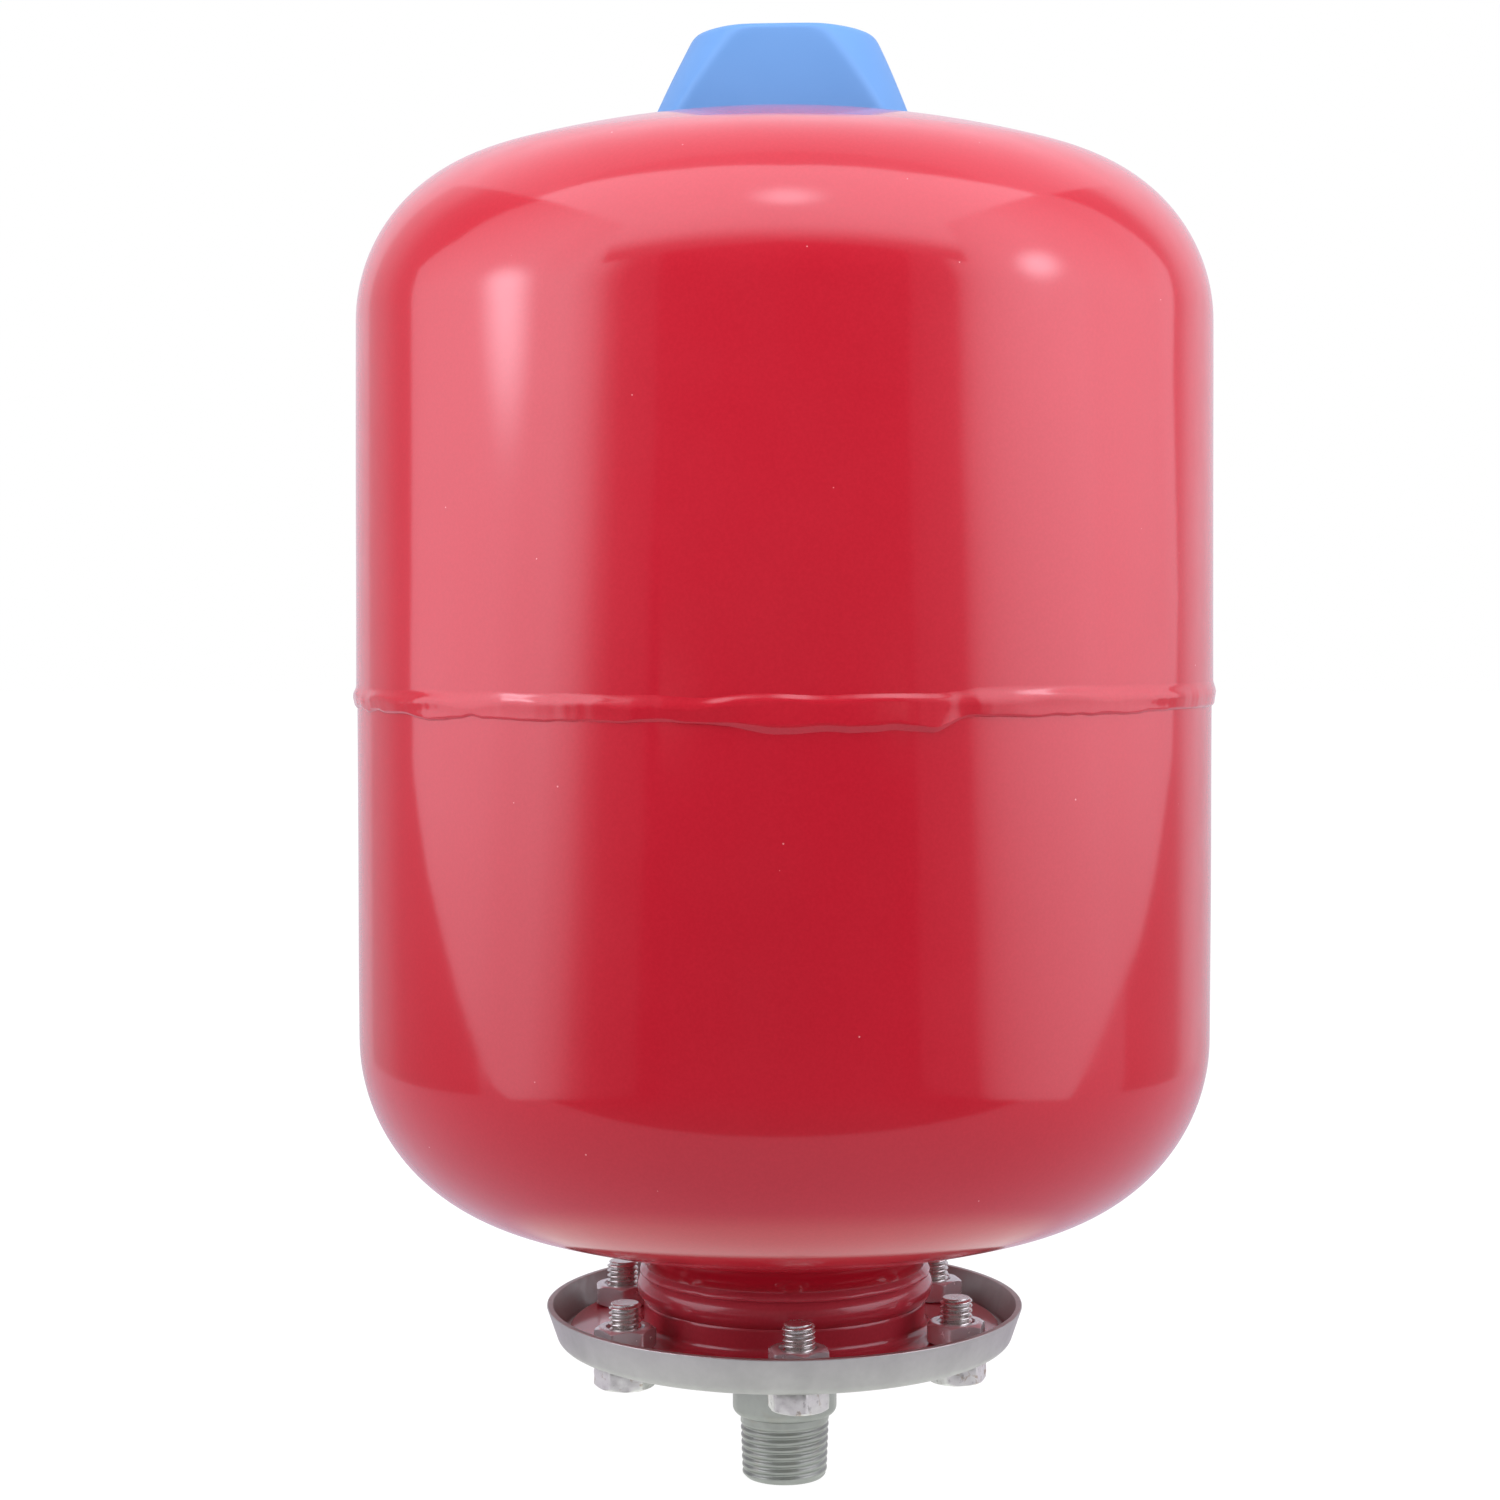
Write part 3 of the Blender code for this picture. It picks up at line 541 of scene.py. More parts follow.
# ======================================================================================
#  Shells
# ======================================================================================
def head(edge_r, edge_z, knuckle, crown, depth, end_r, up, crown_steps, knuckle_steps):
    """A dished head from its straight edge to radius end_r, at a depth inside the sheet."""
    centre_r = edge_r - knuckle
    drop = math.sqrt((crown - knuckle) ** 2 - centre_r**2)
    meet = math.degrees(math.atan2(drop, centre_r))
    crown_z = edge_z - drop if up else edge_z + drop
    sign = 1 if up else -1
    reach = crown - depth
    last = math.degrees(math.acos(end_r / reach))
    made = arc((centre_r, edge_z), knuckle - depth, 0, sign * meet, knuckle_steps)
    return made + arc((0, crown_z), reach, sign * meet, sign * last, crown_steps)[1:]


def crown_centre(edge_r, edge_z, knuckle, crown, up):
    drop = math.sqrt((crown - knuckle) ** 2 - (edge_r - knuckle) ** 2)
    return edge_z - drop if up else edge_z + drop


UPPER_CENTRE_Z = crown_centre(UPPER_TOP_R, UPPER_TOP_Z, UPPER_KNUCKLE, UPPER_CROWN, True)
LOWER_CENTRE_Z = crown_centre(LOWER_BOTTOM_R, LOWER_BOTTOM_Z, LOWER_KNUCKLE, LOWER_CROWN, False)


def crown_z(r, over=0.0):
    return UPPER_CENTRE_Z + np.sqrt((UPPER_CROWN + over) ** 2 - np.asarray(r, float) ** 2)


DRAWN_UPPER = (
    (0.045, 3, 210, 0.4),
    (0.030, 5, 120, 1.9),
    (0.018, 9, 76, 2.7),
    (0.010, 14, 52, 0.9),
)
DRAWN_LOWER = (
    (0.060, 2, 170, 1.1),
    (0.040, 5, 105, 2.6),
    (0.022, 8, 66, 0.3),
    (0.010, 15, 47, 1.5),
)


def shell_push(terms, weld_z, pull):
    """Slow undulations of a drawn sheet, and the slight pull-in of the heat beside the weld."""

    def push(theta, r, z):
        near = np.clip((r - 60.0) / 30.0, 0, 1)
        shrink = pull * np.exp(-(((z - weld_z) / 13.0) ** 2))
        return waves(theta, z, terms) * near - shrink * near

    return push


upper_out = head(UPPER_TOP_R, UPPER_TOP_Z, UPPER_KNUCKLE, UPPER_CROWN, 0, BOSS_HOLE, True, 36, 30)
upper_in = head(UPPER_TOP_R, UPPER_TOP_Z, UPPER_KNUCKLE, UPPER_CROWN, SHEET, BOSS_HOLE, True, 30, 20)
upper_outline = upper_out[::-1]
upper_outline += line(upper_outline[-1], (UPPER_WAIST_R, UPPER_EDGE_Z + 0.2), 44)
upper_outline += [(UPPER_WAIST_R - 0.2, UPPER_EDGE_Z), (UPPER_WAIST_R - SHEET + 0.2, UPPER_EDGE_Z)]
upper_outline += [(UPPER_WAIST_R - SHEET, UPPER_EDGE_Z + 0.2)]
upper_outline += line(upper_outline[-1], upper_in[0], 30)
upper_outline += upper_in[1:]
piece(
    "upper_shell_skin",
    turned("upper_shell_skin", upper_outline, 224, shell_push(DRAWN_UPPER, 193.0, 0.0)),
    RED,
    "vessel",
    "red_coat",
    "upper_shell",
)


def lower_points(depth, crown_steps, knuckle_steps, fillet_steps):
    """The lower shell from its straight wall to the end of its throat."""
    throat, fillet, crown = THROAT_R - depth, THROAT_FILLET + depth, LOWER_CROWN - depth
    centre_r = throat + fillet
    centre_z = LOWER_CENTRE_Z - math.sqrt((crown + fillet) ** 2 - centre_r**2)
    touch_r = crown * centre_r / (crown + fillet)
    made = head(
        LOWER_BOTTOM_R, LOWER_BOTTOM_Z, LOWER_KNUCKLE, LOWER_CROWN, depth, touch_r, False, crown_steps, knuckle_steps
    )
    rise = math.degrees(math.atan2(LOWER_CENTRE_Z - centre_z, -centre_r))
    made += arc((centre_r, centre_z), fillet, rise, 180, fillet_steps)[1:]
    return made + line((throat, made[-1][1]), (throat, THROAT_END_Z), 2)


joggle_r = LOWER_WAIST_R - JOGGLE_DROP + 0.28
lower_out = lower_points(0.0, 26, 34, 16)
lower_in = lower_points(SHEET, 20, 22, 10)
lower_outline = [(joggle_r - 0.2, JOGGLE_TOP_Z), (joggle_r, JOGGLE_TOP_Z - 0.2), (joggle_r, LOWER_SHOULDER_Z + 0.9)]
lower_outline += [(LOWER_WAIST_R, LOWER_SHOULDER_Z)]
lower_outline += line(lower_outline[-1], lower_out[0], 40)
lower_outline += lower_out[1:]
lower_outline += [(THROAT_R - 0.25, THROAT_END_Z - 0.15), (THROAT_R - SHEET + 0.25, THROAT_END_Z - 0.15)]
lower_outline += lower_in[::-1]
lower_outline += line(lower_outline[-1], (LOWER_WAIST_R - SHEET, LOWER_SHOULDER_Z - 0.8), 26)
lower_outline += [
    (joggle_r - SHEET, LOWER_SHOULDER_Z + 0.3),
    (joggle_r - SHEET, JOGGLE_TOP_Z - 0.2),
    (joggle_r - SHEET + 0.2, JOGGLE_TOP_Z),
]
piece(
    "lower_shell_skin",
    turned("lower_shell_skin", lower_outline, 224, shell_push(DRAWN_LOWER, 190.0, 0.0)),
    RED,
    "vessel",
    "red_coat",
    "lower_shell",
)


# ======================================================================================
#  Girth weld
# ======================================================================================
def bead(front, segments=1080):
    """The hand-run weld bead: a steep upper edge, a nearly flat face and a lower edge that meets the shell in a crease."""
    theta = np.arange(segments) * TAU / segments
    side = np.degrees(np.mod(theta - front + math.pi, TAU) - math.pi)  # degrees from -Y towards +X

    def between(a, b, soft_a, soft_b=None):
        return smooth_step((side - a) / soft_a + 0.5) * (1 - smooth_step((side - b) / (soft_b or soft_a) + 0.5))

    overlap = between(-5.0, 19.5, 8.0, 4.0)  # the second pass runs over the start of the first
    after = between(20.5, 172.0, 5.5, 16.0)  # the first pass sits a little higher there
    wander = ring_noise(theta, 11, 3, 13, 0.10)
    top = 194.75 + 1.35 * after + wander + ring_noise(theta, 14, 6, 34, 0.14)
    low = 188.45 + 1.0 * after - 2.05 * overlap + wander + ring_noise(theta, 12, 8, 46, 0.15)
    low += ring_noise(theta, 13, 50, 120, 0.04) + 0.9 * smooth_step((np.abs(side) - 46) / 16) * smooth_step((135 - np.abs(side)) / 30)
    low += 0.8 * np.exp(-(((side + 41.0) / 1.5) ** 2)) - 0.4 * np.exp(-(((side + 46.5) / 3.0) ** 2))
    low = -smooth_max(-low, np.full_like(low, 0.18 - LOWER_SHOULDER_Z), 0.3)  # the bead always reaches the lower shell's full width
    height = 0.80 + ring_noise(theta, 15, 5, 26, 0.040) + ring_noise(theta, 16, 36, 90, 0.022) - 0.16 * between(-44.0, -10.0, 12.0)
    height -= 0.16 * np.exp(-(((side - 20.8) / 1.8) ** 2))
    rise = 2.9 + ring_noise(theta, 18, 4, 30, 0.38) + 1.1 * between(-21.0, -9.0, 5.0)  # width of the upper slope
    rise += 0.45 * after
    steep = 1.45 + ring_noise(theta, 19, 20, 60, 0.12)  # the second pass stands up more sharply
    lip = overlap * (1 - 0.45 * smooth_step((side - 6.0) / 13.0))
    tail = 0.62 + ring_noise(theta, 24, 10, 50, 0.08) + 1.30 * lip

    depth = top - low
    share = np.concatenate(
        [np.linspace(0, 1, 13)[:-1] * 0.30, 0.30 + np.linspace(0, 1, 11)[:-1] * 0.50, 0.80 + np.linspace(0, 1, 15) * 0.20]
    )[:, None]
    down = share * depth[None]
    ramp = -smooth_max(-down / steep[None], np.full_like(down, -1.0), 0.35)
    up = smooth_step(down / rise[None]) * (1 - overlap[None]) + smooth_max(ramp, np.zeros_like(down), 0.08) * overlap[None]
    fall = np.clip((down - rise[None] * 0.9) / (depth - rise * 0.9)[None], 0, 1)
    lean = 1 - 0.42 * fall**1.8 * (1 - overlap[None])
    end = np.clip((depth[None] - down) / tail[None], 0, 1)
    under = end ** (0.52 + 0.48 * overlap[None])
    base = UPPER_WAIST_R + (LOWER_WAIST_R - UPPER_WAIST_R) * smooth_step((down - 1.5) / 3.5)
    ripple = ring_noise(theta, 17, 150, 230, 0.008)[None]
    full = height[None] * (1 - overlap[None]) + (104.02 - base) * overlap[None]  # the second pass keeps its full height down to its lip
    r = base - 0.03 + (full + ripple) * up * lean * under - 0.09 * (1 - end) ** 2
    r = np.minimum(r, 104.08)
    z = top[None] - down

    inner_r = np.stack([np.full_like(theta, LOWER_WAIST_R - 0.22), np.full_like(theta, UPPER_WAIST_R - 0.22)])
    inner_z = np.stack([low + 0.05, top - 0.1])
    r_all = np.concatenate([r, inner_r])
    z_all = np.concatenate([z, inner_z])
    t_all = np.repeat(theta[None], len(r_all), 0)
    skin = Skin()
    skin.grid(np.stack([r_all * np.cos(t_all), r_all * np.sin(t_all), z_all], 2), closed_rows=True)
    return skin.mesh("girth_weld_bead", weld=0.0005, sharp=50)


piece("girth_weld_bead", bead(-math.pi / 2), BEAD_RED, "vessel", "red_coat", "girth_weld")

# ======================================================================================
#  Neck collar, its plate and the neck weld
# ======================================================================================
bolt_places = []
for i in range(1, 7):
    low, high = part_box(f"flange_bolt_{i}")
    bolt_places.append(((low.x + high.x) / 2 / MM, (low.y + high.y) / 2 / MM))

neck_outline = (
    [(34.2, NECK_TOP_Z), (34.75, NECK_TOP_Z - 0.02), (35.0, NECK_TOP_Z - 0.25)]
    + arc((RIB_R - 4.2, RIB_Z), 4.2, 36, -38, 16)
    + rounded(
        [
            (NECK_R, 43.9, 1.6),
            (NECK_R, PLATE_TOP_Z, 2.2),
            (PLATE_R, PLATE_TOP_Z, 0.7),
            (PLATE_R, PLATE_BOTTOM_Z, 0.35),
            (LIP_SEAT_R, PLATE_BOTTOM_Z, 0.4),
            (LIP_SEAT_R, LIP_SEAT_Z, 0.3),
            (NECK_BORE, LIP_SEAT_Z, 0.5),
            (NECK_BORE, NECK_TOP_Z, 0.5),
        ],
        8,
    )
)


def neck_push(theta, r, z):
    """Spinning marks and slight ovality of the rolled collar."""
    wall = np.clip((z - 38.5) / 2.0, 0, 1) * np.clip((r - 33.5), 0, 1)
    return wall * (0.05 * np.sin(2 * theta + 0.7) + 0.03 * np.sin(5 * theta + 2.1 + z * 0.4))


collar = turned("neck_collar_plain", neck_outline, 192, neck_push)
collar = cut_holes(collar, "neck_collar_formed", bolt_places, 4.4, 30.0, 44.0)
# The collar wears the lighter neck copy of the red, which paints in the light the neck catches.
piece("neck_collar_formed", collar, NECK_RED_PAINTED_LIGHT, "vessel", "red_coat", "neck_collar")


def neck_bead():
    segments = 420
    theta = np.arange(segments) * TAU / segments
    lift = ring_noise(theta, 21, 5, 40, 0.07) + ring_noise(theta, 22, 60, 110, 0.02)
    grow = ring_noise(theta, 23, 4, 30, 0.06)
    outline = np.array(
        [
            (THROAT_R - 0.08, 53.0),
            (THROAT_R + 0.10, 52.85),
            (THROAT_R + 0.45, 52.55),
            (THROAT_R + 0.85, 52.2),
            (THROAT_R + 1.12, 51.85),
            (THROAT_R + 1.22, 51.45),
            (THROAT_R + 1.14, 51.1),
            (THROAT_R + 0.85, 50.85),
            (THROAT_R + 0.5, 50.8),
            (THROAT_R + 0.2, 50.92),
            (THROAT_R - 0.08, 51.1),
        ]
    )
    weight = np.clip((outline[:, 0] - THROAT_R) / 1.2, 0, 1)[:, None]
    r = outline[:, :1] + weight * grow[None]
    z = outline[:, 1:] + weight * lift[None]
    t = np.repeat(theta[None], len(outline), 0)
    skin = Skin()
    skin.grid(np.stack([r * np.cos(t), r * np.sin(t), z], 2), closed_rows=True)
    return skin.mesh("neck_weld_bead", weld=0.0005, sharp=50)


# The neck weld wears the same lighter copy of the red: painted light.
piece("neck_weld_bead", neck_bead(), NECK_RED_PAINTED_LIGHT, "vessel", "red_coat", "neck_weld")

# ======================================================================================
#  Counter-flange
# ======================================================================================
wall_slope = (DISH_RIM_R - DISH_FOOT_R) / (DISH_RIM_Z - DISH_BOTTOM_Z)
wall_step = DISH_SHEET * math.sqrt(1 + wall_slope**2)
floor_z = DISH_BOTTOM_Z + DISH_SHEET
inner_foot = DISH_FOOT_R + wall_slope * DISH_SHEET - wall_step
dish_outline = rounded(
    [
        (DISH_RIM_R, DISH_RIM_Z, 0.28),
        (DISH_FOOT_R, DISH_BOTTOM_Z, 2.8),
        (DISH_HOLE + 8.0, DISH_BOTTOM_Z, 0),
        (DISH_HOLE, DISH_BOTTOM_Z, 0.2),
        (DISH_HOLE, floor_z, 0.2),
        (DISH_HOLE + 8.0, floor_z, 0),
        (inner_foot, floor_z, 1.4),
        (DISH_RIM_R - wall_step, DISH_RIM_Z, 0.28),
    ],
    8,
)


def dish_push(theta, r, z):
    """The pressed rim is a little out of round and nicked."""
    rim = np.clip((z - 37.0) / 6.0, 0, 1)
    nick = ring_noise(theta, 31, 20, 70, 0.018) * np.clip((z - 42.6) / 0.6, 0, 1)
    return -np.abs(rim * (0.10 * np.sin(2 * theta + 0.5) + 0.05 * np.sin(3 * theta + 1.4))) - np.abs(nick)


dish = turned("counter_flange_plain", dish_outline, 240, dish_push)
dish = cut_holes(dish, "counter_flange_pressed", bolt_places, 4.4, 30.0, 44.0)
piece("counter_flange_pressed", dish, ZINC, "vessel", "galvanised_sheet", "counter_flange")


# ======================================================================================
#  Hexagon bolts and nuts
# ======================================================================================
def hexagon(theta, flats, corner):
    """Radius of a hexagon with slightly rounded corners, at angles from a flat's middle."""
    a = np.mod(theta + math.pi / 6, math.pi / 3) - math.pi / 6
    sharp = flats / 2 / np.cos(a)
    k = 0.10
    h = np.clip(0.5 + 0.5 * (corner - sharp) / k, 0, 1)
    return corner * (1 - h) + sharp * h - k * h * (1 - h)


def hex_rings(turn, at, bottom, top, inner_low, inner_high, lumps=0.0, seed=0, segments=120):
    """Rings of a hexagon from the inner edge of its lower face, round its side, to that of its upper face. The lower
    face is chamfered; the upper face is chamfered only when the hexagon is under 5.25 mm tall, and otherwise it is left
    square.
    """
    theta = np.arange(segments) * TAU / segments
    full = hexagon(theta - turn, HEX, HEX / math.sqrt(3) - 0.12)
    seat = HEX / 2 * 0.955
    fall = math.tan(math.radians(30))

    def ring(r, z):
        return np.broadcast_to(r, theta.shape).astype(float), np.broadcast_to(z, theta.shape).astype(float)

    def end(z0, sign, inner, chamfered):
        made = [ring(inner, z0), ring(seat - 0.5, z0)]
        if chamfered:
            made.append(ring(seat - 0.05, z0))
            for t in (0.15, 0.45, 0.75, 0.97):
                r = seat + (full - seat) * t
                made.append(ring(r, z0 + sign * (r - seat) * fall))
            made.append(ring(full - 0.01, z0 + sign * ((full - seat) * fall + 0.06)))
            made.append(ring(full, z0 + sign * ((full - seat) * fall + 0.22)))
        else:
            made += [ring(full - 0.35, z0), ring(full - 0.10, z0 + sign * 0.04), ring(full, z0 + sign * 0.22)]
        return made

    low = end(bottom, 1, inner_low, True)
    high = end(top, -1, inner_high, top - bottom < 5.25)
    middle = [ring(full, bottom + (top - bottom) * t) for t in (0.35, 0.5, 0.65)]
    rings = low + middle + high[::-1]
    r = np.array([x[0] for x in rings])
    z = np.array([x[1] for x in rings])
    if lumps:
        rng = np.random.default_rng(seed)
        side = np.clip((r - 4.6) / 1.0, 0, 1)
        bumps = np.zeros_like(r)
        for _ in range(26):
            n, m, p, q = rng.integers(2, 15), rng.uniform(0.6, 2.6), rng.uniform(0, TAU), rng.uniform(0, TAU)
            bumps += np.sin(n * theta[None] + p) * np.sin(m * z + q)
        r = r + lumps * bumps / math.sqrt(26) * 2 * side
        z = z + lumps * 0.5 * np.sin(5 * theta[None] + 3 * r + seed) * side * (z < bottom + 1.5)
    t = np.repeat(theta[None], len(r), 0)
    return np.stack([at[0] + r * np.cos(t), at[1] + r * np.sin(t), z], 2)


def bolt(name, at, turn, seed):
    """An M8 hexagon bolt, head down, threaded to a chamfered tip."""
    low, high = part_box(f"flange_bolt_{seed + 1}")
    bottom, tip = low.z / MM, high.z / MM
    head_top = 34.0
    skin = Skin()
    rings = hex_rings(turn, at, bottom, head_top, 2.0, 4.6, lumps=0.045, seed=seed)
    skin.grid(rings)
    skin.pole(rings[0], (at[0], at[1], bottom))
    neck = turn_points([(4.6, head_top), (4.05, head_top + 0.02), (3.9, head_top + 0.3)], 120, at=at)
    skin.grid(neck)

    def radius(phase, z, theta):
        fade = smooth_step((z - head_top - 0.5) / 1.2)
        r = 3.9 - 0.70 * v_thread(phase, 0.14, 0.20) * fade
        return np.minimum(r, 3.16 + (tip - z) * 1.05)

    points = add_thread(skin, screw_thread(head_top + 0.3, tip, 1.25, radius, 120, 10, at))
    cap = points[-1]
    ring = turn_points([(3.16, tip), (1.5, tip - 0.02)], 120, at=at)
    skin.grid(ring)
    skin.pole(ring[1], (at[0], at[1], tip - 0.03))
    return skin.mesh(name, weld=0.006, sharp=38)


def nut(name, at, turn, seed):
    """An M8 hexagon nut, chamfered on both faces, with its thread."""
    low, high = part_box(f"flange_nut_{seed + 1}")
    bottom, top = low.z / MM, high.z / MM
    skin = Skin()
    rings = hex_rings(turn, at, bottom, top, 4.62, 4.62, lumps=0.010, seed=seed + 40)
    skin.grid(rings)

    def radius(phase, z, theta):
        cone = 4.62 - np.minimum(z - bottom, top - z)
        return np.maximum(4.15 + 0.42 * v_thread(phase, 0.25, 0.14), cone)

    add_thread(skin, screw_thread(bottom, top, 1.25, radius, 120, 8, at))
    return skin.mesh(name, weld=0.006, sharp=38)


for i, at in enumerate(bolt_places):
    turn_head = math.radians(HEAD_TURN[i])
    turn_nut = math.radians(NUT_TURN[i])
    made = piece(
        f"flange_bolt_{i + 1}_threaded",
        bolt(f"flange_bolt_{i + 1}_threaded", at, turn_head, i),
        BOLT_ZINC,
        "vessel",
        "zinc_bolt",
        f"flange_bolt_{i + 1}",
    )
    made.data.materials.append(THREAD_ZINC)
    for face in made.data.polygons:
        if face.center.z > 0.0342:
            face.material_index = 1
    piece(
        f"flange_nut_{i + 1}_threaded",
        nut(f"flange_nut_{i + 1}_threaded", at, turn_nut, i),
        NUT_ZINC,
        "vessel",
        "zinc_nut",
        f"flange_nut_{i + 1}",
    )


# ======================================================================================
#  Pipe nipple
# ======================================================================================
def nipple():
    """A galvanised nipple: worn 1/2 inch taper thread, plain collar, spigot into the dish."""
    pitch, bore, low, high = 1.814, 7.4, 0.0, 15.2
    segments = 144
    skin = Skin()

    def radius(phase, z, theta):
        taper = 10.36 + (10.9 - 10.36) * np.clip(z / 14.4, 0, 1)
        fade = 1 - smooth_step((z - 12.6) / 2.2)
        worn = 1 + 0.10 * np.sin(3 * theta + z) * np.sin(0.7 * z + 1.0)
        r = taper - 0.42 * worn * v_thread(phase, 0.24, 0.12) * fade
        return np.minimum(r, 9.62 + z * 0.95)

    add_thread(skin, screw_thread(low, high, pitch, radius, segments, 12))
    collar_r, collar_low = 12.8, 15.8
    outline = [(10.9, high)] + rounded(
        [
            (10.9, collar_low - 0.35, 0),
            (collar_r, collar_low + 0.1, 1.9),
            (collar_r, DISH_BOTTOM_Z - 0.1, 0.25),
            (10.5, DISH_BOTTOM_Z - 0.1, 0),
            (10.5, 36.6, 0.3),
            (bore, 36.6, 0.4),
            (bore, 0.0, 0.5),
        ],
        8,
    )
    # the last fillet ends on the end face; the thread's first ring closes it
    outline.append((9.62, 0.0))

    def push(theta, r, z):
        near = np.clip((z - 15.4) / 1.0, 0, 1) * np.clip((r - 11.2) / 0.8, 0, 1)
        return near * (-0.05 + 0.05 * np.sin(2 * theta + 1.0))

    skin.grid(turn_points(outline, segments, push))
    return skin.mesh("connection_nipple_threaded", weld=0.006, sharp=40)


piece("connection_nipple_threaded", nipple(), NIPPLE_ZINC, "vessel", "zinc_nipple", "connection_nipple")


def lumpy_ring(name, outline, seed, size, segments=180, sharp=50):
    """A turned weld fillet with the ripples of a hand-run bead."""
    outline = np.asarray(outline, float)
    theta = np.arange(segments) * TAU / segments
    middle = outline.mean(0)
    away = outline - middle
    rings = []
    for k, (r, z) in enumerate(outline):
        wave = 1 + ring_noise(theta, seed, 6, 22, size) + ring_noise(theta, seed + 1, 30, 60, size * 0.5)
        rr = middle[0] + away[k, 0] * wave
        zz = middle[1] + away[k, 1] * wave
        rings.append(np.stack([rr * np.cos(theta), rr * np.sin(theta), zz], 1))
    skin = Skin()
    skin.grid(np.array(rings), closed_rows=True)
    return skin.mesh(name, weld=0.0005, sharp=sharp)


piece(
    "nipple_weld_bead",
    lumpy_ring(
        "nipple_weld_bead",
        rounded(
            [
                (10.62, 36.5, 0.1),
                (11.5, 36.35, 0.35),
                (12.2, floor_z + 0.12, 0.1),
                (10.62, floor_z + 0.12, 0.1),
            ],
            4,
        ),
        51,
        0.05,
    ),
    WELD_STEEL,
    "vessel",
    "weld_steel",
    "nipple_weld",
)

# ======================================================================================
#  Bladder
# ======================================================================================
BLADDER_R, BLADDER_TOP_Z, BLADDER_WALL = 86.0, 304.0, 1.8
bag_neck = NECK_BORE - 0.4


def bag(depth, steps):
    made = []
    crown, top = BLADDER_R - depth, BLADDER_TOP_Z - depth
    for i in range(1, steps + 1):
        a = math.radians(90 - 90 * i / steps)
        made.append((crown * math.cos(a), top - 52 + 52 * math.sin(a)))
    made += line(made[-1], (crown, 140), 10)
    for i in range(1, steps + 1):
        t = i / steps
        ease = 0.5 + 0.5 * math.cos(math.pi * t)
        made.append(((bag_neck - depth) + (BLADDER_R - bag_neck) * ease, 140 - 78 * t))
    return made


def bag_push(theta, r, z):
    """Two mould lines and the slackness of thin rubber."""
    belly = np.clip((r - 50) / 20, 0, 1)
    seam = 0.25 * np.exp(-((np.sin(theta) / 0.012) ** 2)) * np.clip((z - 60) / 20, 0, 1)
    slack = 0.5 * np.sin(4 * theta + 0.02 * z) * np.sin(z / 41.0) * belly
    return seam + slack


bag_outline = (
    [(0, BLADDER_TOP_Z)]
    + bag(0.0, 26)
    + [
        (bag_neck, LIP_SEAT_Z + 0.4),
        (bag_neck, LIP_SEAT_Z - 0.2),
        (LIP_SEAT_R - 0.6, LIP_SEAT_Z - 0.2),
        (LIP_SEAT_R - 0.3, LIP_SEAT_Z - 0.5),
        (LIP_SEAT_R - 0.3, floor_z + 0.45),
        (LIP_SEAT_R - 0.6, floor_z + 0.15),
        (bag_neck - 3.4, floor_z + 0.15),
        (bag_neck - 3.6, floor_z + 0.35),
        (bag_neck - 3.6, LIP_SEAT_Z - 0.8),
        (bag_neck - BLADDER_WALL, LIP_SEAT_Z + 0.5),
    ]
    + bag(BLADDER_WALL, 26)[::-1]
    + [(0, BLADDER_TOP_Z - BLADDER_WALL)]
)
piece(
    "bladder_bag",
    turned("bladder_bag", bag_outline, 120, bag_push, closed=False),
    EPDM,
    "vessel",
    "epdm",
    "bladder",
)

# ======================================================================================
#  Air valve
# ======================================================================================
BOSS_R, BOSS_TOP_Z, WELL_R, WELL_FLOOR_Z = 12.0, 338.0, 8.5, 333.4
STEM_R, STEM_BORE, STEM_TOP_Z, STEM_BOTTOM_Z, STEM_SEAT_Z = 3.85, 2.75, 341.5, 321.0, 323.5


def boss():
    """The steel boss through the crown, with the cover's coarse thread outside."""
    low = float(crown_z(BOSS_HOLE)) + 0.15
    skin = Skin()

    def radius(phase, z, theta):
        fade = smooth_step((z - low - 0.6) / 1.0) * smooth_step((BOSS_TOP_Z - 0.3 - z) / 1.0)
        r = BOSS_R - 0.75 * v_thread(phase, 0.30, 0.24) * fade
        return np.minimum(r, BOSS_R - 0.5 + (BOSS_TOP_Z - z))

    add_thread(skin, screw_thread(low, BOSS_TOP_Z, 2.0, radius, 120, 12))
    outline = [(BOSS_R, low)] + rounded(
        [
            (BOSS_HOLE - 0.2, low, 0),
            (BOSS_HOLE - 0.2, 324.0, 0.5),
            (STEM_R + 0.25, 324.0, 0.3),
            (STEM_R + 0.25, WELL_FLOOR_Z, 0.3),
            (WELL_R, WELL_FLOOR_Z, 0.5),
            (WELL_R, BOSS_TOP_Z, 0.4),
        ],
        5,
    )
    outline.append((BOSS_R - 0.5, BOSS_TOP_Z))
    skin.grid(turn_points(outline, 120))
    return skin.mesh("valve_boss_threaded", weld=0.006, sharp=40)


piece("valve_boss_threaded", boss(), STEEL, "vessel", "weld_steel", "valve_boss")
under_crown = float(crown_z(BOSS_HOLE)) - SHEET
piece(
    "valve_boss_weld_bead",
    lumpy_ring(
        "valve_boss_weld_bead",
        rounded(
            [
                (BOSS_HOLE - 0.05, 327.9, 0.1),
                (BOSS_HOLE + 1.5, under_crown - 0.4, 0.15),
                (BOSS_HOLE + 1.3, 328.0, 0.5),
                (BOSS_HOLE - 0.05, 326.9, 0.1),
            ],
            4,
        ),
        61,
        0.05,
    ),
    WELD_STEEL,
    "vessel",
    "weld_steel",
    "valve_boss_weld",
)


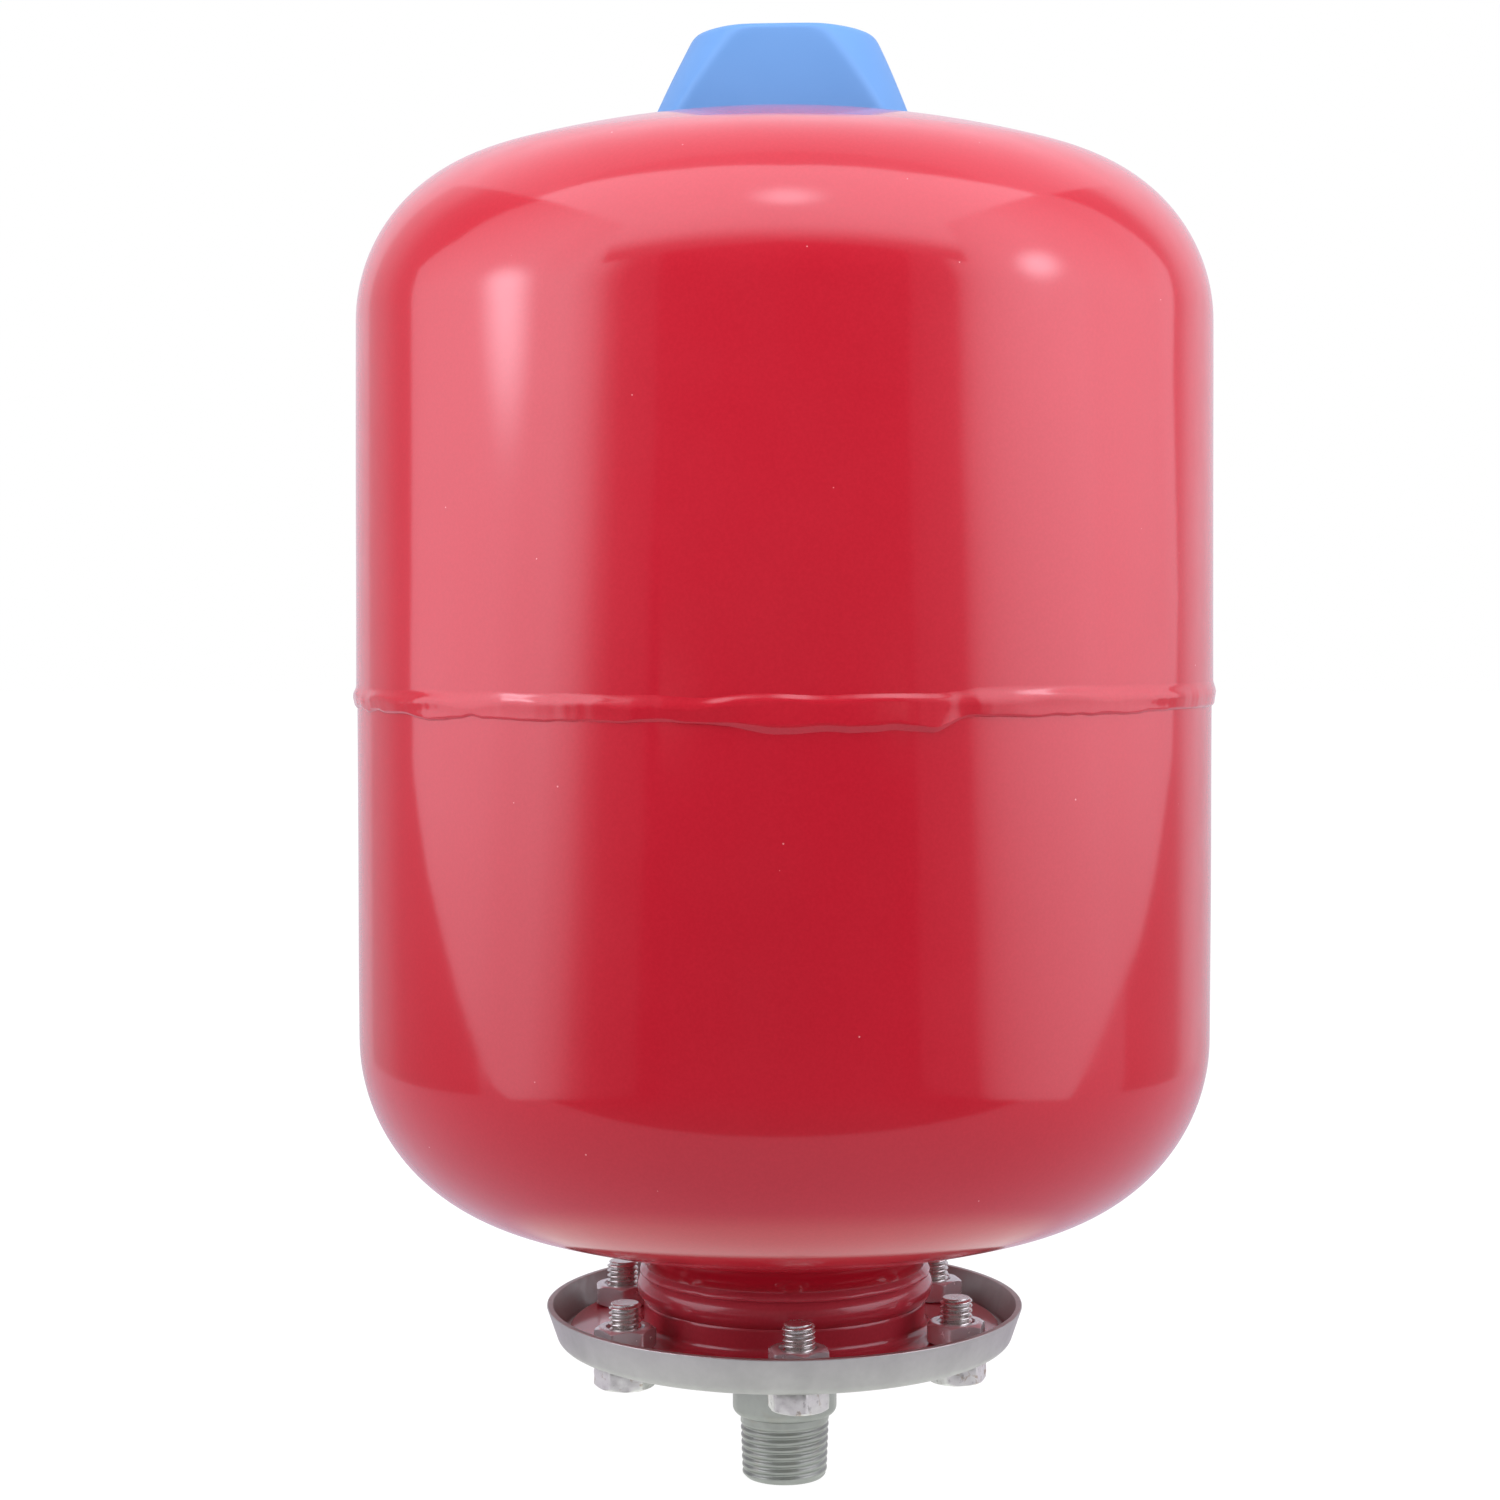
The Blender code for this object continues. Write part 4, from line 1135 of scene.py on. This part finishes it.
def stem():
    """The brass valve stem: fine thread at its mouth, barbless foot with a small port."""
    skin = Skin()
    mouth = 334.6

    def radius(phase, z, theta):
        fade = smooth_step((z - mouth - 0.3) / 0.8)
        r = STEM_R - 0.36 * v_thread(phase, 0.14, 0.2) * fade
        return np.minimum(r, STEM_R - 0.35 + (STEM_TOP_Z - z))

    add_thread(skin, screw_thread(mouth, STEM_TOP_Z, 0.794, radius, 72, 8))
    outline = [(STEM_R, mouth)] + rounded(
        [
            (STEM_R, 326.6, 0),
            (STEM_R - 0.3, 326.3, 0),
            (STEM_R - 0.3, 325.6, 0),
            (STEM_R, 325.3, 0),
            (STEM_R, STEM_BOTTOM_Z, 0.5),
            (1.1, STEM_BOTTOM_Z, 0.2),
            (1.1, STEM_SEAT_Z, 0.1),
            (STEM_BORE, STEM_SEAT_Z, 0.2),
            (STEM_BORE, STEM_TOP_Z, 0.25),
        ],
        4,
    )
    outline.append((STEM_R - 0.35, STEM_TOP_Z))
    skin.grid(turn_points(outline, 72))
    return skin.mesh("valve_stem_threaded", weld=0.006, sharp=40)


piece("valve_stem_threaded", stem(), BRASS, "vessel", "brass", "valve_stem")


def core_body():
    """The brass core barrel: threaded head, waist and lower nose."""
    skin = Skin()
    low, high = 336.4, 340.7

    def radius(phase, z, theta):
        fade = smooth_step((z - low) / 0.5) * smooth_step((high - z) / 0.5)
        return 2.5 - 0.26 * v_thread(phase, 0.14, 0.2) * fade

    add_thread(skin, screw_thread(low, high, 0.705, radius, 60, 8))
    outline = [(2.5, low)] + rounded(
        [
            (2.15, 336.0, 0.1),
            (2.15, 334.6, 0.1),
            (1.95, 334.2, 0.1),
            (1.95, 333.0, 0.25),
            (0.9, 333.0, 0.1),
            (0.9, 341.0, 0.1),
            (2.2, 341.0, 0.1),
        ],
        3,
    )
    outline.append((2.5, high))
    skin.grid(turn_points(outline, 60))
    return skin.mesh("valve_core_barrel", weld=0.006, sharp=40)


piece("valve_core_barrel", core_body(), BRASS, "vessel", "brass", "valve_core_body")
piece(
    "valve_core_pin_turned",
    turned(
        "valve_core_pin_turned",
        [
            (0, 341.25),
            (0.22, 341.25),
            (0.45, 341.15),
            (0.6, 340.9),
            (0.6, 332.3),
            (0.75, 332.2),
            (1.7, 332.2),
            (1.9, 332.0),
            (1.9, 331.5),
            (1.7, 331.3),
            (0.75, 331.3),
            (0.6, 331.15),
            (0.6, 325.7),
            (0.35, 325.4),
            (0, 325.4),
        ],
        48,
        closed=False,
    ),
    BRASS,
    "valve_pin",
    "brass",
    "valve_core_pin",
)
piece(
    "valve_core_seal_disc",
    turned(
        "valve_core_seal_disc",
        rounded([(1.9, 332.85, 0.12), (1.9, 332.32, 0.12), (0.72, 332.32, 0), (0.72, 332.85, 0.05)], 4),
        48,
    ),
    SEAL,
    "valve_pin",
    "epdm",
    "valve_core_seal",
)


def coil_spring():
    """A compression spring with closed end coils, swept as a tube."""
    low, high, wire, radius, turns = 323.7 + 0.18, 331.1 - 0.18, 0.18, 1.45, 4.0
    steps, around = 260, 12
    t = np.linspace(0, 1, steps)
    ends = 0.5 / turns
    climb = smooth_step(np.clip((t - ends * 0.6) / (1 - 1.2 * ends), 0, 1)) * 0.35 + 0.65 * np.clip(
        (t - ends * 0.6) / (1 - 1.2 * ends), 0, 1
    )
    a = TAU * turns * t
    path = np.stack([radius * np.cos(a), radius * np.sin(a), low + (high - low) * climb], 1)
    along = np.gradient(path, axis=0)
    along /= np.linalg.norm(along, axis=1, keepdims=True)
    out = np.stack([np.cos(a), np.sin(a), np.zeros_like(a)], 1)
    out -= (out * along).sum(1, keepdims=True) * along
    out /= np.linalg.norm(out, axis=1, keepdims=True)
    side = np.cross(along, out)
    b = np.arange(around) * TAU / around
    rings = path[:, None] + wire * (
        out[:, None] * np.cos(b)[None, :, None] + side[:, None] * np.sin(b)[None, :, None]
    )
    skin = Skin()
    skin.grid(rings)
    skin.pole(rings[0], path[0])
    skin.pole(rings[-1], path[-1])
    return skin.mesh("valve_core_coil", weld=0.0005, sharp=50)


coil = piece("valve_core_coil", coil_spring(), SPRING, "vessel", "spring_steel", "valve_core_spring")
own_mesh(coil)  # it shortens as the pin is pressed


def dust_cap():
    """A small screw cap with moulded grip ribs."""
    low, high, out_r, bore = 334.7, 343.0, 5.2, 4.1
    outline = [(0, high)] + rounded(
        [
            (0.5, high, 0),
            (out_r, high, 0.9),
            (out_r, low, 0.3),
            (bore, low, 0.2),
            (bore, high - 0.7, 0.3),
            (0.5, high - 0.7, 0),
        ],
        6,
    )
    outline.append((0, high - 0.7))
    # more rows down the grip so that the ribs run out cleanly
    dense = []
    for a, b in zip(outline, outline[1:]):
        dense.append(a)
        if abs(a[0] - out_r) < 1e-6 and abs(b[0] - out_r) < 1e-6:
            dense += line(a, b, 14)[:-1]
    dense.append(outline[-1])

    def push(theta, r, z):
        grip = np.clip((r - 4.95) / 0.2, 0, 1) * smooth_step((z - low - 0.8) / 0.7) * smooth_step((high - 0.9 - z) / 0.8)
        return -0.26 * grip * (0.5 + 0.5 * np.cos(24 * theta)) ** 1.5

    return turned("valve_dust_cap_ribbed", dense, 192, push, closed=False)


piece("valve_dust_cap_ribbed", dust_cap(), BLACK, "dust_cap", "black_plastic", "valve_dust_cap")
piece(
    "dust_cap_seal_disc",
    turned(
        "dust_cap_seal_disc",
        rounded([(3.95, 342.2, 0.15), (3.95, 341.65, 0.15), (1.3, 341.65, 0.1), (1.3, 342.2, 0.1)], 4),
        72,
    ),
    SEAL,
    "dust_cap_carriage",
    "epdm",
    "dust_cap_seal",
)

# ======================================================================================
#  Valve cover
# ======================================================================================
cone_slope = (COVER_BASE_R - COVER_EDGE_R) / (COVER_EDGE_Z - COVER_BASE_Z)
cone_across = math.sqrt(1 + cone_slope**2)
GRIP_WAYS = [math.radians(-90 + GRIP_TURN + 120 * i) for i in range(3)]


def cover_field(x, y, z, wall, edge, ridge):
    """Signed distance-like field of the cover's outside, moved inwards by wall: below 0 inside."""
    r = np.hypot(x, y)
    side = (r - (COVER_EDGE_R + cone_slope * (COVER_EDGE_Z - z))) / cone_across + wall
    over = z - (COVER_TOP_Z - wall) - 0.4835 * ridge  # the three blends below lower the flat top by this much
    body = smooth_max(over, side, edge)
    for way in GRIP_WAYS:
        reach = GRIP_DISTANCE - wall + GRIP_CURVE
        hollow = GRIP_CURVE - np.hypot(x - reach * math.cos(way), y - reach * math.sin(way))
        body = smooth_max(body, smooth_max(over, hollow, edge * 0.8), ridge)
    return body


def cover_surface(wall, edge, ridge, rows, segments):
    """Where rays from a point on the axis leave the cover: rings from the top's middle down to the crown."""
    theta = np.arange(segments) * TAU / segments
    source = 330.0
    foot_r = np.full(segments, 34.0)
    for _ in range(60):  # radius where the wall meets the crown below it
        z = crown_z(foot_r, COVER_GAP)
        value = cover_field(foot_r * np.cos(theta), foot_r * np.sin(theta), z, wall, edge, ridge)
        foot_r = foot_r - 0.5 * value
    foot_z = crown_z(foot_r, COVER_GAP)
    last = np.arctan2(foot_z - source, foot_r)
    t = np.linspace(0, 1, rows + 1)[1:]
    angle = math.pi / 2 + (last[None] - math.pi / 2) * t[:, None] ** 0.9
    near, far = np.zeros_like(angle), np.full_like(angle, 60.0)
    for _ in range(48):
        middle = (near + far) / 2
        flat, up = middle * np.cos(angle), source + middle * np.sin(angle)
        outside = cover_field(flat * np.cos(theta)[None], flat * np.sin(theta)[None], up, wall, edge, ridge) > 0
        far = np.where(outside, middle, far)
        near = np.where(outside, near, middle)
    r = near * np.cos(angle)
    z = source + near * np.sin(angle)
    r[-1], z[-1] = foot_r, foot_z
    return np.stack([r * np.cos(theta), r * np.sin(theta), z], 2)


def cover():
    segments = 288
    theta = np.arange(segments) * TAU / segments
    outer = cover_surface(0.0, 2.6, 1.3, 84, segments)
    top = float(outer[0, :, 2].max())
    outer[:, :, 2] = np.minimum(outer[:, :, 2], COVER_TOP_Z - 0.01)
    inner = cover_surface(2.2, 1.6, 1.6, 60, segments)
    skin = Skin()
    skin.grid(outer)
    skin.pole(outer[0], (0, 0, outer[0, 0, 2]))
    # foot: a small rounded land between the outer and inner walls
    a, b = outer[-1], inner[-1]
    skin.grid(np.stack([a, a + (b - a) * 0.5, b]))
    # inner wall up to the ceiling, then the threaded skirt round the boss
    radius = np.hypot(inner[:, :, 0], inner[:, :, 1])
    keep = [k for k in range(len(inner)) if radius[k].min() > 14.9]
    wall = inner[keep[0] :][::-1]
    skin.grid(wall)
    ceiling = COVER_TOP_Z - 2.2
    pitch, bottom = 2.0, 332.4

    def ring(r, z):
        return np.stack([r * np.cos(theta), r * np.sin(theta), np.full(segments, z)], 1)

    rim = wall[-1]
    skin.grid(np.stack([rim, ring(14.75, ceiling), ring(14.45, ceiling - 0.25), ring(14.4, ceiling - 0.6), ring(14.4, bottom + 0.3), ring(14.2, bottom), ring(13.4, bottom)]))

    def thread(phase, z, angle):
        fade = smooth_step((z - bottom - 0.2) / 0.8) * smooth_step((345.0 - z) / 1.0)
        mouth = np.clip(bottom + 0.8 - z, 0, 1)
        return 12.4 + 0.75 * v_thread(phase, 0.30, 0.24) * fade + mouth * 1.25

    add_thread(skin, screw_thread(bottom, 345.6, pitch, thread, segments, 10))
    upper = [ring(12.4, 345.6), ring(12.4, ceiling - 0.5), ring(12.2, ceiling - 0.1), ring(11.8, ceiling)]
    skin.grid(np.stack(upper + [ring(8.0, ceiling), ring(2.0, ceiling)]))
    skin.pole(ring(2.0, ceiling), (0, 0, ceiling))
    return skin.mesh("valve_cover_lobed", weld=0.006, sharp=42)


piece("valve_cover_lobed", cover(), BLUE, "cover", "blue_plastic", "valve_cover")
piece(
    "cover_gasket_ring",
    turned(
        "cover_gasket_ring",
        rounded([(12.1, 339.7, 0.3), (12.1, 338.15, 0.3), (9.0, 338.15, 0.3), (9.0, 339.7, 0.3)], 5),
        120,
    ),
    SEAL,
    "cover_carriage",
    "epdm",
    "cover_gasket",
)


# ======================================================================================
#  Stage: pale floor, soft panels, camera
# ======================================================================================
def curve(tree, value, points):
    """A value that follows (position, level) points."""
    low, high = points[0][0], points[-1][0]
    top = max(level for _, level in points)
    scale = tree.nodes.new("ShaderNodeMapRange")
    scale.inputs["From Min"].default_value = low
    scale.inputs["From Max"].default_value = high
    tree.links.new(value, scale.inputs["Value"])
    ramp = tree.nodes.new("ShaderNodeValToRGB")
    elements = ramp.color_ramp.elements
    while len(elements) < len(points):
        elements.new(0.5)
    for element, (where, level) in zip(elements, points):
        element.position = (where - low) / (high - low)
        element.color = (level / top, level / top, level / top, 1.0)
    tree.links.new(scale.outputs["Result"], ramp.inputs["Fac"])
    made = tree.nodes.new("ShaderNodeMath")
    made.operation = "MULTIPLY"
    made.inputs[1].default_value = top
    tree.links.new(ramp.outputs["Color"], made.inputs[0])
    return made.outputs["Value"]


def panel(name, corners, strength, along=None, lean=0.0, height=None, glow=None, tint=(1.0, 0.94, 1.06)):
    """A soft light panel, seen by surfaces and not by the camera. along varies it with y + lean * (z - 0.28), height with z."""
    mesh = bpy.data.meshes.new(name)
    mesh.from_pydata([tuple(c) for c in corners], [], [tuple(range(len(corners)))])
    obj = bpy.data.objects.new(name, mesh)
    bpy.context.scene.collection.objects.link(obj)
    material = bpy.data.materials.new(name)
    material.use_nodes = True
    tree = material.node_tree
    tree.nodes.clear()
    out = tree.nodes.new("ShaderNodeOutputMaterial")
    light = tree.nodes.new("ShaderNodeEmission")
    light.inputs["Color"].default_value = (*tint, 1.0)
    light.inputs["Strength"].default_value = strength
    tree.links.new(light.outputs[0], out.inputs["Surface"])
    place = tree.nodes.new("ShaderNodeTexCoord").outputs["Object"]
    split = tree.nodes.new("ShaderNodeSeparateXYZ")
    tree.links.new(place, split.inputs[0])

    def maths(kind, a, b):
        made = tree.nodes.new("ShaderNodeMath")
        made.operation = kind
        for i, x in enumerate((a, b)):
            if isinstance(x, (int, float)):
                made.inputs[i].default_value = x
            else:
                tree.links.new(x, made.inputs[i])
        return made.outputs["Value"]

    level = None
    if along is not None:
        level = curve(tree, maths("ADD", split.outputs["Y"], maths("MULTIPLY", maths("SUBTRACT", split.outputs["Z"], 0.28), lean)), along)
    if height is not None:
        tall = curve(tree, split.outputs["Z"], height)
        level = tall if level is None else maths("MULTIPLY", level, tall)
    if glow is not None:
        centre, reach, extra = glow
        away = tree.nodes.new("ShaderNodeVectorMath")
        away.operation = "DISTANCE"
        away.inputs[1].default_value = centre
        tree.links.new(place, away.inputs[0])
        fall = tree.nodes.new("ShaderNodeMapRange")
        fall.interpolation_type = "SMOOTHERSTEP"
        fall.inputs["From Min"].default_value = 0.0
        fall.inputs["From Max"].default_value = reach
        fall.inputs["To Min"].default_value = extra
        fall.inputs["To Max"].default_value = 0.0
        tree.links.new(away.outputs["Value"], fall.inputs["Value"])
        level = maths("ADD", fall.outputs["Result"], 1.0 if level is None else level)
    if level is not None:
        tree.links.new(maths("MULTIPLY", level, strength), light.inputs["Strength"])
    mesh.materials.append(material)
    obj.visible_camera = False
    obj.visible_shadow = False
    return obj


LIGHT = 1.0
TALL = [(0.0, 0.54), (0.07, 0.60), (0.11, 0.67), (0.16, 0.80), (0.22, 0.88), (0.28, 1.0), (0.34, 1.08), (0.45, 1.02), (0.70, 0.95)]
panel(
    "light_left",
    [
        (-0.40, y, z)
        for y, z in (
            (-0.70, 0.0), (-0.16, 0.01), (-0.125, 0.055), (-0.05, 0.086), (0.03, 0.125), (0.085, 0.163),
            (0.082, 0.24), (0.076, 0.39), (0.01, 0.47), (-0.03, 0.58), (-0.075, 0.68), (-0.70, 0.69),
        )
    ],
    3.45 * LIGHT,
    [
        (-0.69, 0.01), (-0.65, 0.09), (-0.56, 0.10), (-0.485, 0.115), (-0.43, 0.27), (-0.37, 0.66), (-0.30, 0.90),
        (-0.22, 0.83), (-0.165, 0.85), (-0.12, 0.78), (-0.05, 0.66), (0.029, 0.50), (0.09, 0.37),
    ],
    0.40,
    TALL,
    ((-0.40, -0.17, 0.335), 0.085, 1.5),
)
panel(
    "light_right",
    [
        (0.40, y, z)
        for y, z in (
            (-0.70, 0.69), (0.01, 0.69), (0.06, 0.60), (0.10, 0.50), (0.155, 0.393), (0.145, 0.30), (0.172, 0.221),
            (0.150, 0.162), (0.08, 0.125), (0.03, 0.104), (-0.04, 0.084), (-0.122, 0.057), (-0.14, 0.012), (-0.70, 0.0),
        )
    ],
    3.3 * LIGHT,
    [
        (-0.71, 0.02), (-0.69, 0.11), (-0.56, 0.13), (-0.46, 0.14), (-0.43, 0.42), (-0.39, 0.62), (-0.34, 0.76),
        (-0.27, 0.86), (-0.20, 0.88), (-0.12, 0.85), (-0.088, 0.76), (-0.037, 0.67), (0.029, 0.54), (0.08, 0.43), (0.17, 0.36),
    ],
    0.30,
    TALL,
    ((0.40, -0.215, 0.40), 0.085, 1.6),
)
panel(
    "light_top",
    [
        (-0.42, -0.42, 0.70), (-0.42, -0.05, 0.70), (-0.26, -0.095, 0.70), (-0.16, -0.125, 0.70), (0.0, -0.15, 0.70),
        (0.18, -0.128, 0.70), (0.28, -0.09, 0.70), (0.42, -0.01, 0.70), (0.42, -0.42, 0.70),
    ],
    3.35 * LIGHT,
    glow=((0.005, -0.352, 0.70), 0.10, 1.15),
)
panel(
    "light_top_front",
    [(-0.42, -0.42, 0.70), (-0.42, -0.42, 0.43), (-0.30, -0.42, 0.432), (-0.15, -0.42, 0.445), (0.0, -0.42, 0.462), (0.15, -0.42, 0.455), (0.29, -0.42, 0.438), (0.42, -0.42, 0.43), (0.42, -0.42, 0.70)],
    3.3 * LIGHT,
    height=[(0.43, 0.16), (0.475, 0.22), (0.505, 0.55), (0.55, 0.92), (0.70, 1.05)],
)
panel("tent_top", [(-0.47, -0.45, 0.755), (0.47, -0.45, 0.755), (0.47, 0.0, 0.755), (-0.47, 0.0, 0.755)], 0.95 * LIGHT)
panel("tent_over", [(-0.47, -0.055, 0.75), (0.47, -0.055, 0.75), (0.47, 0.46, 0.75), (-0.47, 0.46, 0.75)], 1.2 * LIGHT)
panel(
    "tent_left",
    [(-0.47, -0.10, 0.0), (-0.47, 0.46, 0.0), (-0.47, 0.46, 0.75), (-0.47, -0.10, 0.75)],
    0.60 * LIGHT,
    [(-0.10, 0.42), (0.17, 0.45), (0.27, 0.75), (0.46, 0.85)],
    height=[(0.0, 0.9), (0.40, 1.0), (0.60, 1.3), (0.75, 1.7)],
)
panel(
    "tent_right",
    [(0.47, 0.0, 0.0), (0.47, 0.46, 0.0), (0.47, 0.46, 0.75), (0.47, 0.0, 0.75)],
    0.82 * LIGHT,
    [(0.0, 0.35), (0.21, 0.38), (0.30, 0.90), (0.46, 1.0)],
    height=[(0.0, 0.9), (0.40, 1.0), (0.60, 1.15), (0.75, 1.3)],
)
panel(
    "tent_back",
    [(-0.47, 0.46, 0.0), (0.47, 0.46, 0.0), (0.47, 0.46, 0.75), (-0.47, 0.46, 0.75)],
    0.72 * LIGHT,
    height=[(0.0, 0.9), (0.30, 1.0), (0.55, 1.2), (0.75, 1.5)],
)


def floor():
    mesh = bpy.data.meshes.new("pale_floor")
    size = 9.0
    mesh.from_pydata([(-size, -size, 0), (size, -size, 0), (size, size, 0), (-size, size, 0)], [], [(0, 1, 2, 3)])
    obj = bpy.data.objects.new("pale_floor", mesh)
    bpy.context.scene.collection.objects.link(obj)
    material = bpy.data.materials.new("pale_floor")
    material.use_nodes = True
    tree = material.node_tree
    shader = tree.nodes["Principled BSDF"]
    place = tree.nodes.new("ShaderNodeTexCoord")
    noise = tree.nodes.new("ShaderNodeTexNoise")
    noise.inputs["Scale"].default_value = 12.0
    ramp = tree.nodes.new("ShaderNodeValToRGB")
    ramp.color_ramp.elements[0].color = (0.115, 0.115, 0.115, 1)
    ramp.color_ramp.elements[1].color = (0.12, 0.12, 0.12, 1)
    tree.links.new(place.outputs["Object"], noise.inputs["Vector"])
    tree.links.new(noise.outputs["Fac"], ramp.inputs["Fac"])
    tree.links.new(ramp.outputs["Color"], shader.inputs["Base Color"])
    shader.inputs["Roughness"].default_value = 0.9
    shader.inputs["Specular IOR Level"].default_value = 0.0
    shader.inputs["Emission Color"].default_value = (1, 1, 1, 1)
    far = tree.nodes.new("ShaderNodeVectorMath")
    far.operation = "LENGTH"
    tree.links.new(place.outputs["Object"], far.inputs[0])
    fade = tree.nodes.new("ShaderNodeMapRange")
    fade.inputs["From Min"].default_value = 0.15
    fade.inputs["From Max"].default_value = 0.55
    fade.inputs["To Min"].default_value = 0.965
    fade.inputs["To Max"].default_value = 1.02
    tree.links.new(far.outputs["Value"], fade.inputs["Value"])
    tree.links.new(fade.outputs["Result"], shader.inputs["Emission Strength"])
    mesh.materials.append(material)
    return obj


floor()


def dark_card():
    """The unlit ground before the vessel, seen only in its gloss."""
    mesh = bpy.data.meshes.new("dark_card")
    mesh.from_pydata([(-3, -9.5, 0.001), (3, -9.5, 0.001), (3, -0.27, 0.001), (-3, -0.27, 0.001)], [], [(0, 1, 2, 3)])
    obj = bpy.data.objects.new("dark_card", mesh)
    bpy.context.scene.collection.objects.link(obj)
    material = bpy.data.materials.new("dark_card")
    material.use_nodes = True
    shader = material.node_tree.nodes["Principled BSDF"]
    shader.inputs["Base Color"].default_value = (0.03, 0.03, 0.03, 1)
    shader.inputs["Roughness"].default_value = 0.9
    mesh.materials.append(material)
    obj.visible_camera = False
    obj.visible_shadow = False
    obj.visible_diffuse = False
    obj.visible_transmission = False


dark_card()


def floor_card():
    """The ground under the vessel as its gloss sees it: bright close in, cooler and dimmer further out."""
    mesh = bpy.data.meshes.new("floor_card")
    mesh.from_pydata([(-3, -0.27, 0.001), (3, -0.27, 0.001), (3, 3, 0.001), (-3, 3, 0.001)], [], [(0, 1, 2, 3)])
    obj = bpy.data.objects.new("floor_card", mesh)
    bpy.context.scene.collection.objects.link(obj)
    material = bpy.data.materials.new("floor_card")
    material.use_nodes = True
    tree = material.node_tree
    shader = tree.nodes["Principled BSDF"]
    shader.inputs["Base Color"].default_value = (0.03, 0.03, 0.03, 1)
    shader.inputs["Roughness"].default_value = 0.9
    shader.inputs["Specular IOR Level"].default_value = 0.0
    shader.inputs["Emission Strength"].default_value = 1.0
    place = tree.nodes.new("ShaderNodeTexCoord")
    far = tree.nodes.new("ShaderNodeVectorMath")
    far.operation = "LENGTH"
    tree.links.new(place.outputs["Object"], far.inputs[0])
    ramp = tree.nodes.new("ShaderNodeValToRGB")
    stops = [(0.085, (0.97, 0.97, 0.97)), (0.108, (0.63, 0.56, 0.68)), (0.60, (0.63, 0.53, 0.62))]
    ramp.color_ramp.elements[0].position, ramp.color_ramp.elements[0].color = stops[0][0], (*stops[0][1], 1)
    ramp.color_ramp.elements[1].position, ramp.color_ramp.elements[1].color = stops[2][0], (*stops[2][1], 1)
    made = ramp.color_ramp.elements.new(stops[1][0])
    made.color = (*stops[1][1], 1)
    tree.links.new(far.outputs["Value"], ramp.inputs["Fac"])
    tree.links.new(ramp.outputs["Color"], shader.inputs["Emission Color"])
    mesh.materials.append(material)
    obj.visible_camera = False
    obj.visible_shadow = False
    obj.visible_diffuse = False
    obj.visible_transmission = False


floor_card()

scene = bpy.context.scene
world = bpy.data.worlds.new("studio")
scene.world = world
world.use_nodes = True
tree = world.node_tree
tree.nodes.clear()
out = tree.nodes.new("ShaderNodeOutputWorld")
room = tree.nodes.new("ShaderNodeBackground")
room.inputs["Color"].default_value = (1, 1, 1, 1)
room.inputs["Strength"].default_value = 0.14
backdrop = tree.nodes.new("ShaderNodeBackground")
backdrop.inputs["Color"].default_value = (1, 1, 1, 1)
backdrop.inputs["Strength"].default_value = 1.0
which = tree.nodes.new("ShaderNodeMixShader")
path = tree.nodes.new("ShaderNodeLightPath")
tree.links.new(path.outputs["Is Camera Ray"], which.inputs["Fac"])
tree.links.new(room.outputs[0], which.inputs[1])
tree.links.new(backdrop.outputs[0], which.inputs[2])
tree.links.new(which.outputs[0], out.inputs["Surface"])

scene.view_settings.view_transform = "Standard"
scene.view_settings.look = "None"
scene.view_settings.exposure = 0.0
scene.view_settings.gamma = 1.0

lens = bpy.data.cameras.new("photo_view")
lens.sensor_width = 36.0
lens.lens = 68.503
lens.shift_x = -0.0231
lens.clip_start, lens.clip_end = 0.01, 50.0
lens.dof.use_dof = False
camera = bpy.data.objects.new("photo_view", lens)
camera.location = (0.0, -0.69616, 0.20779)
camera.rotation_euler = (math.radians(90 - 2.3927), 0.0, 0.0)
scene.collection.objects.link(camera)
scene.camera = camera
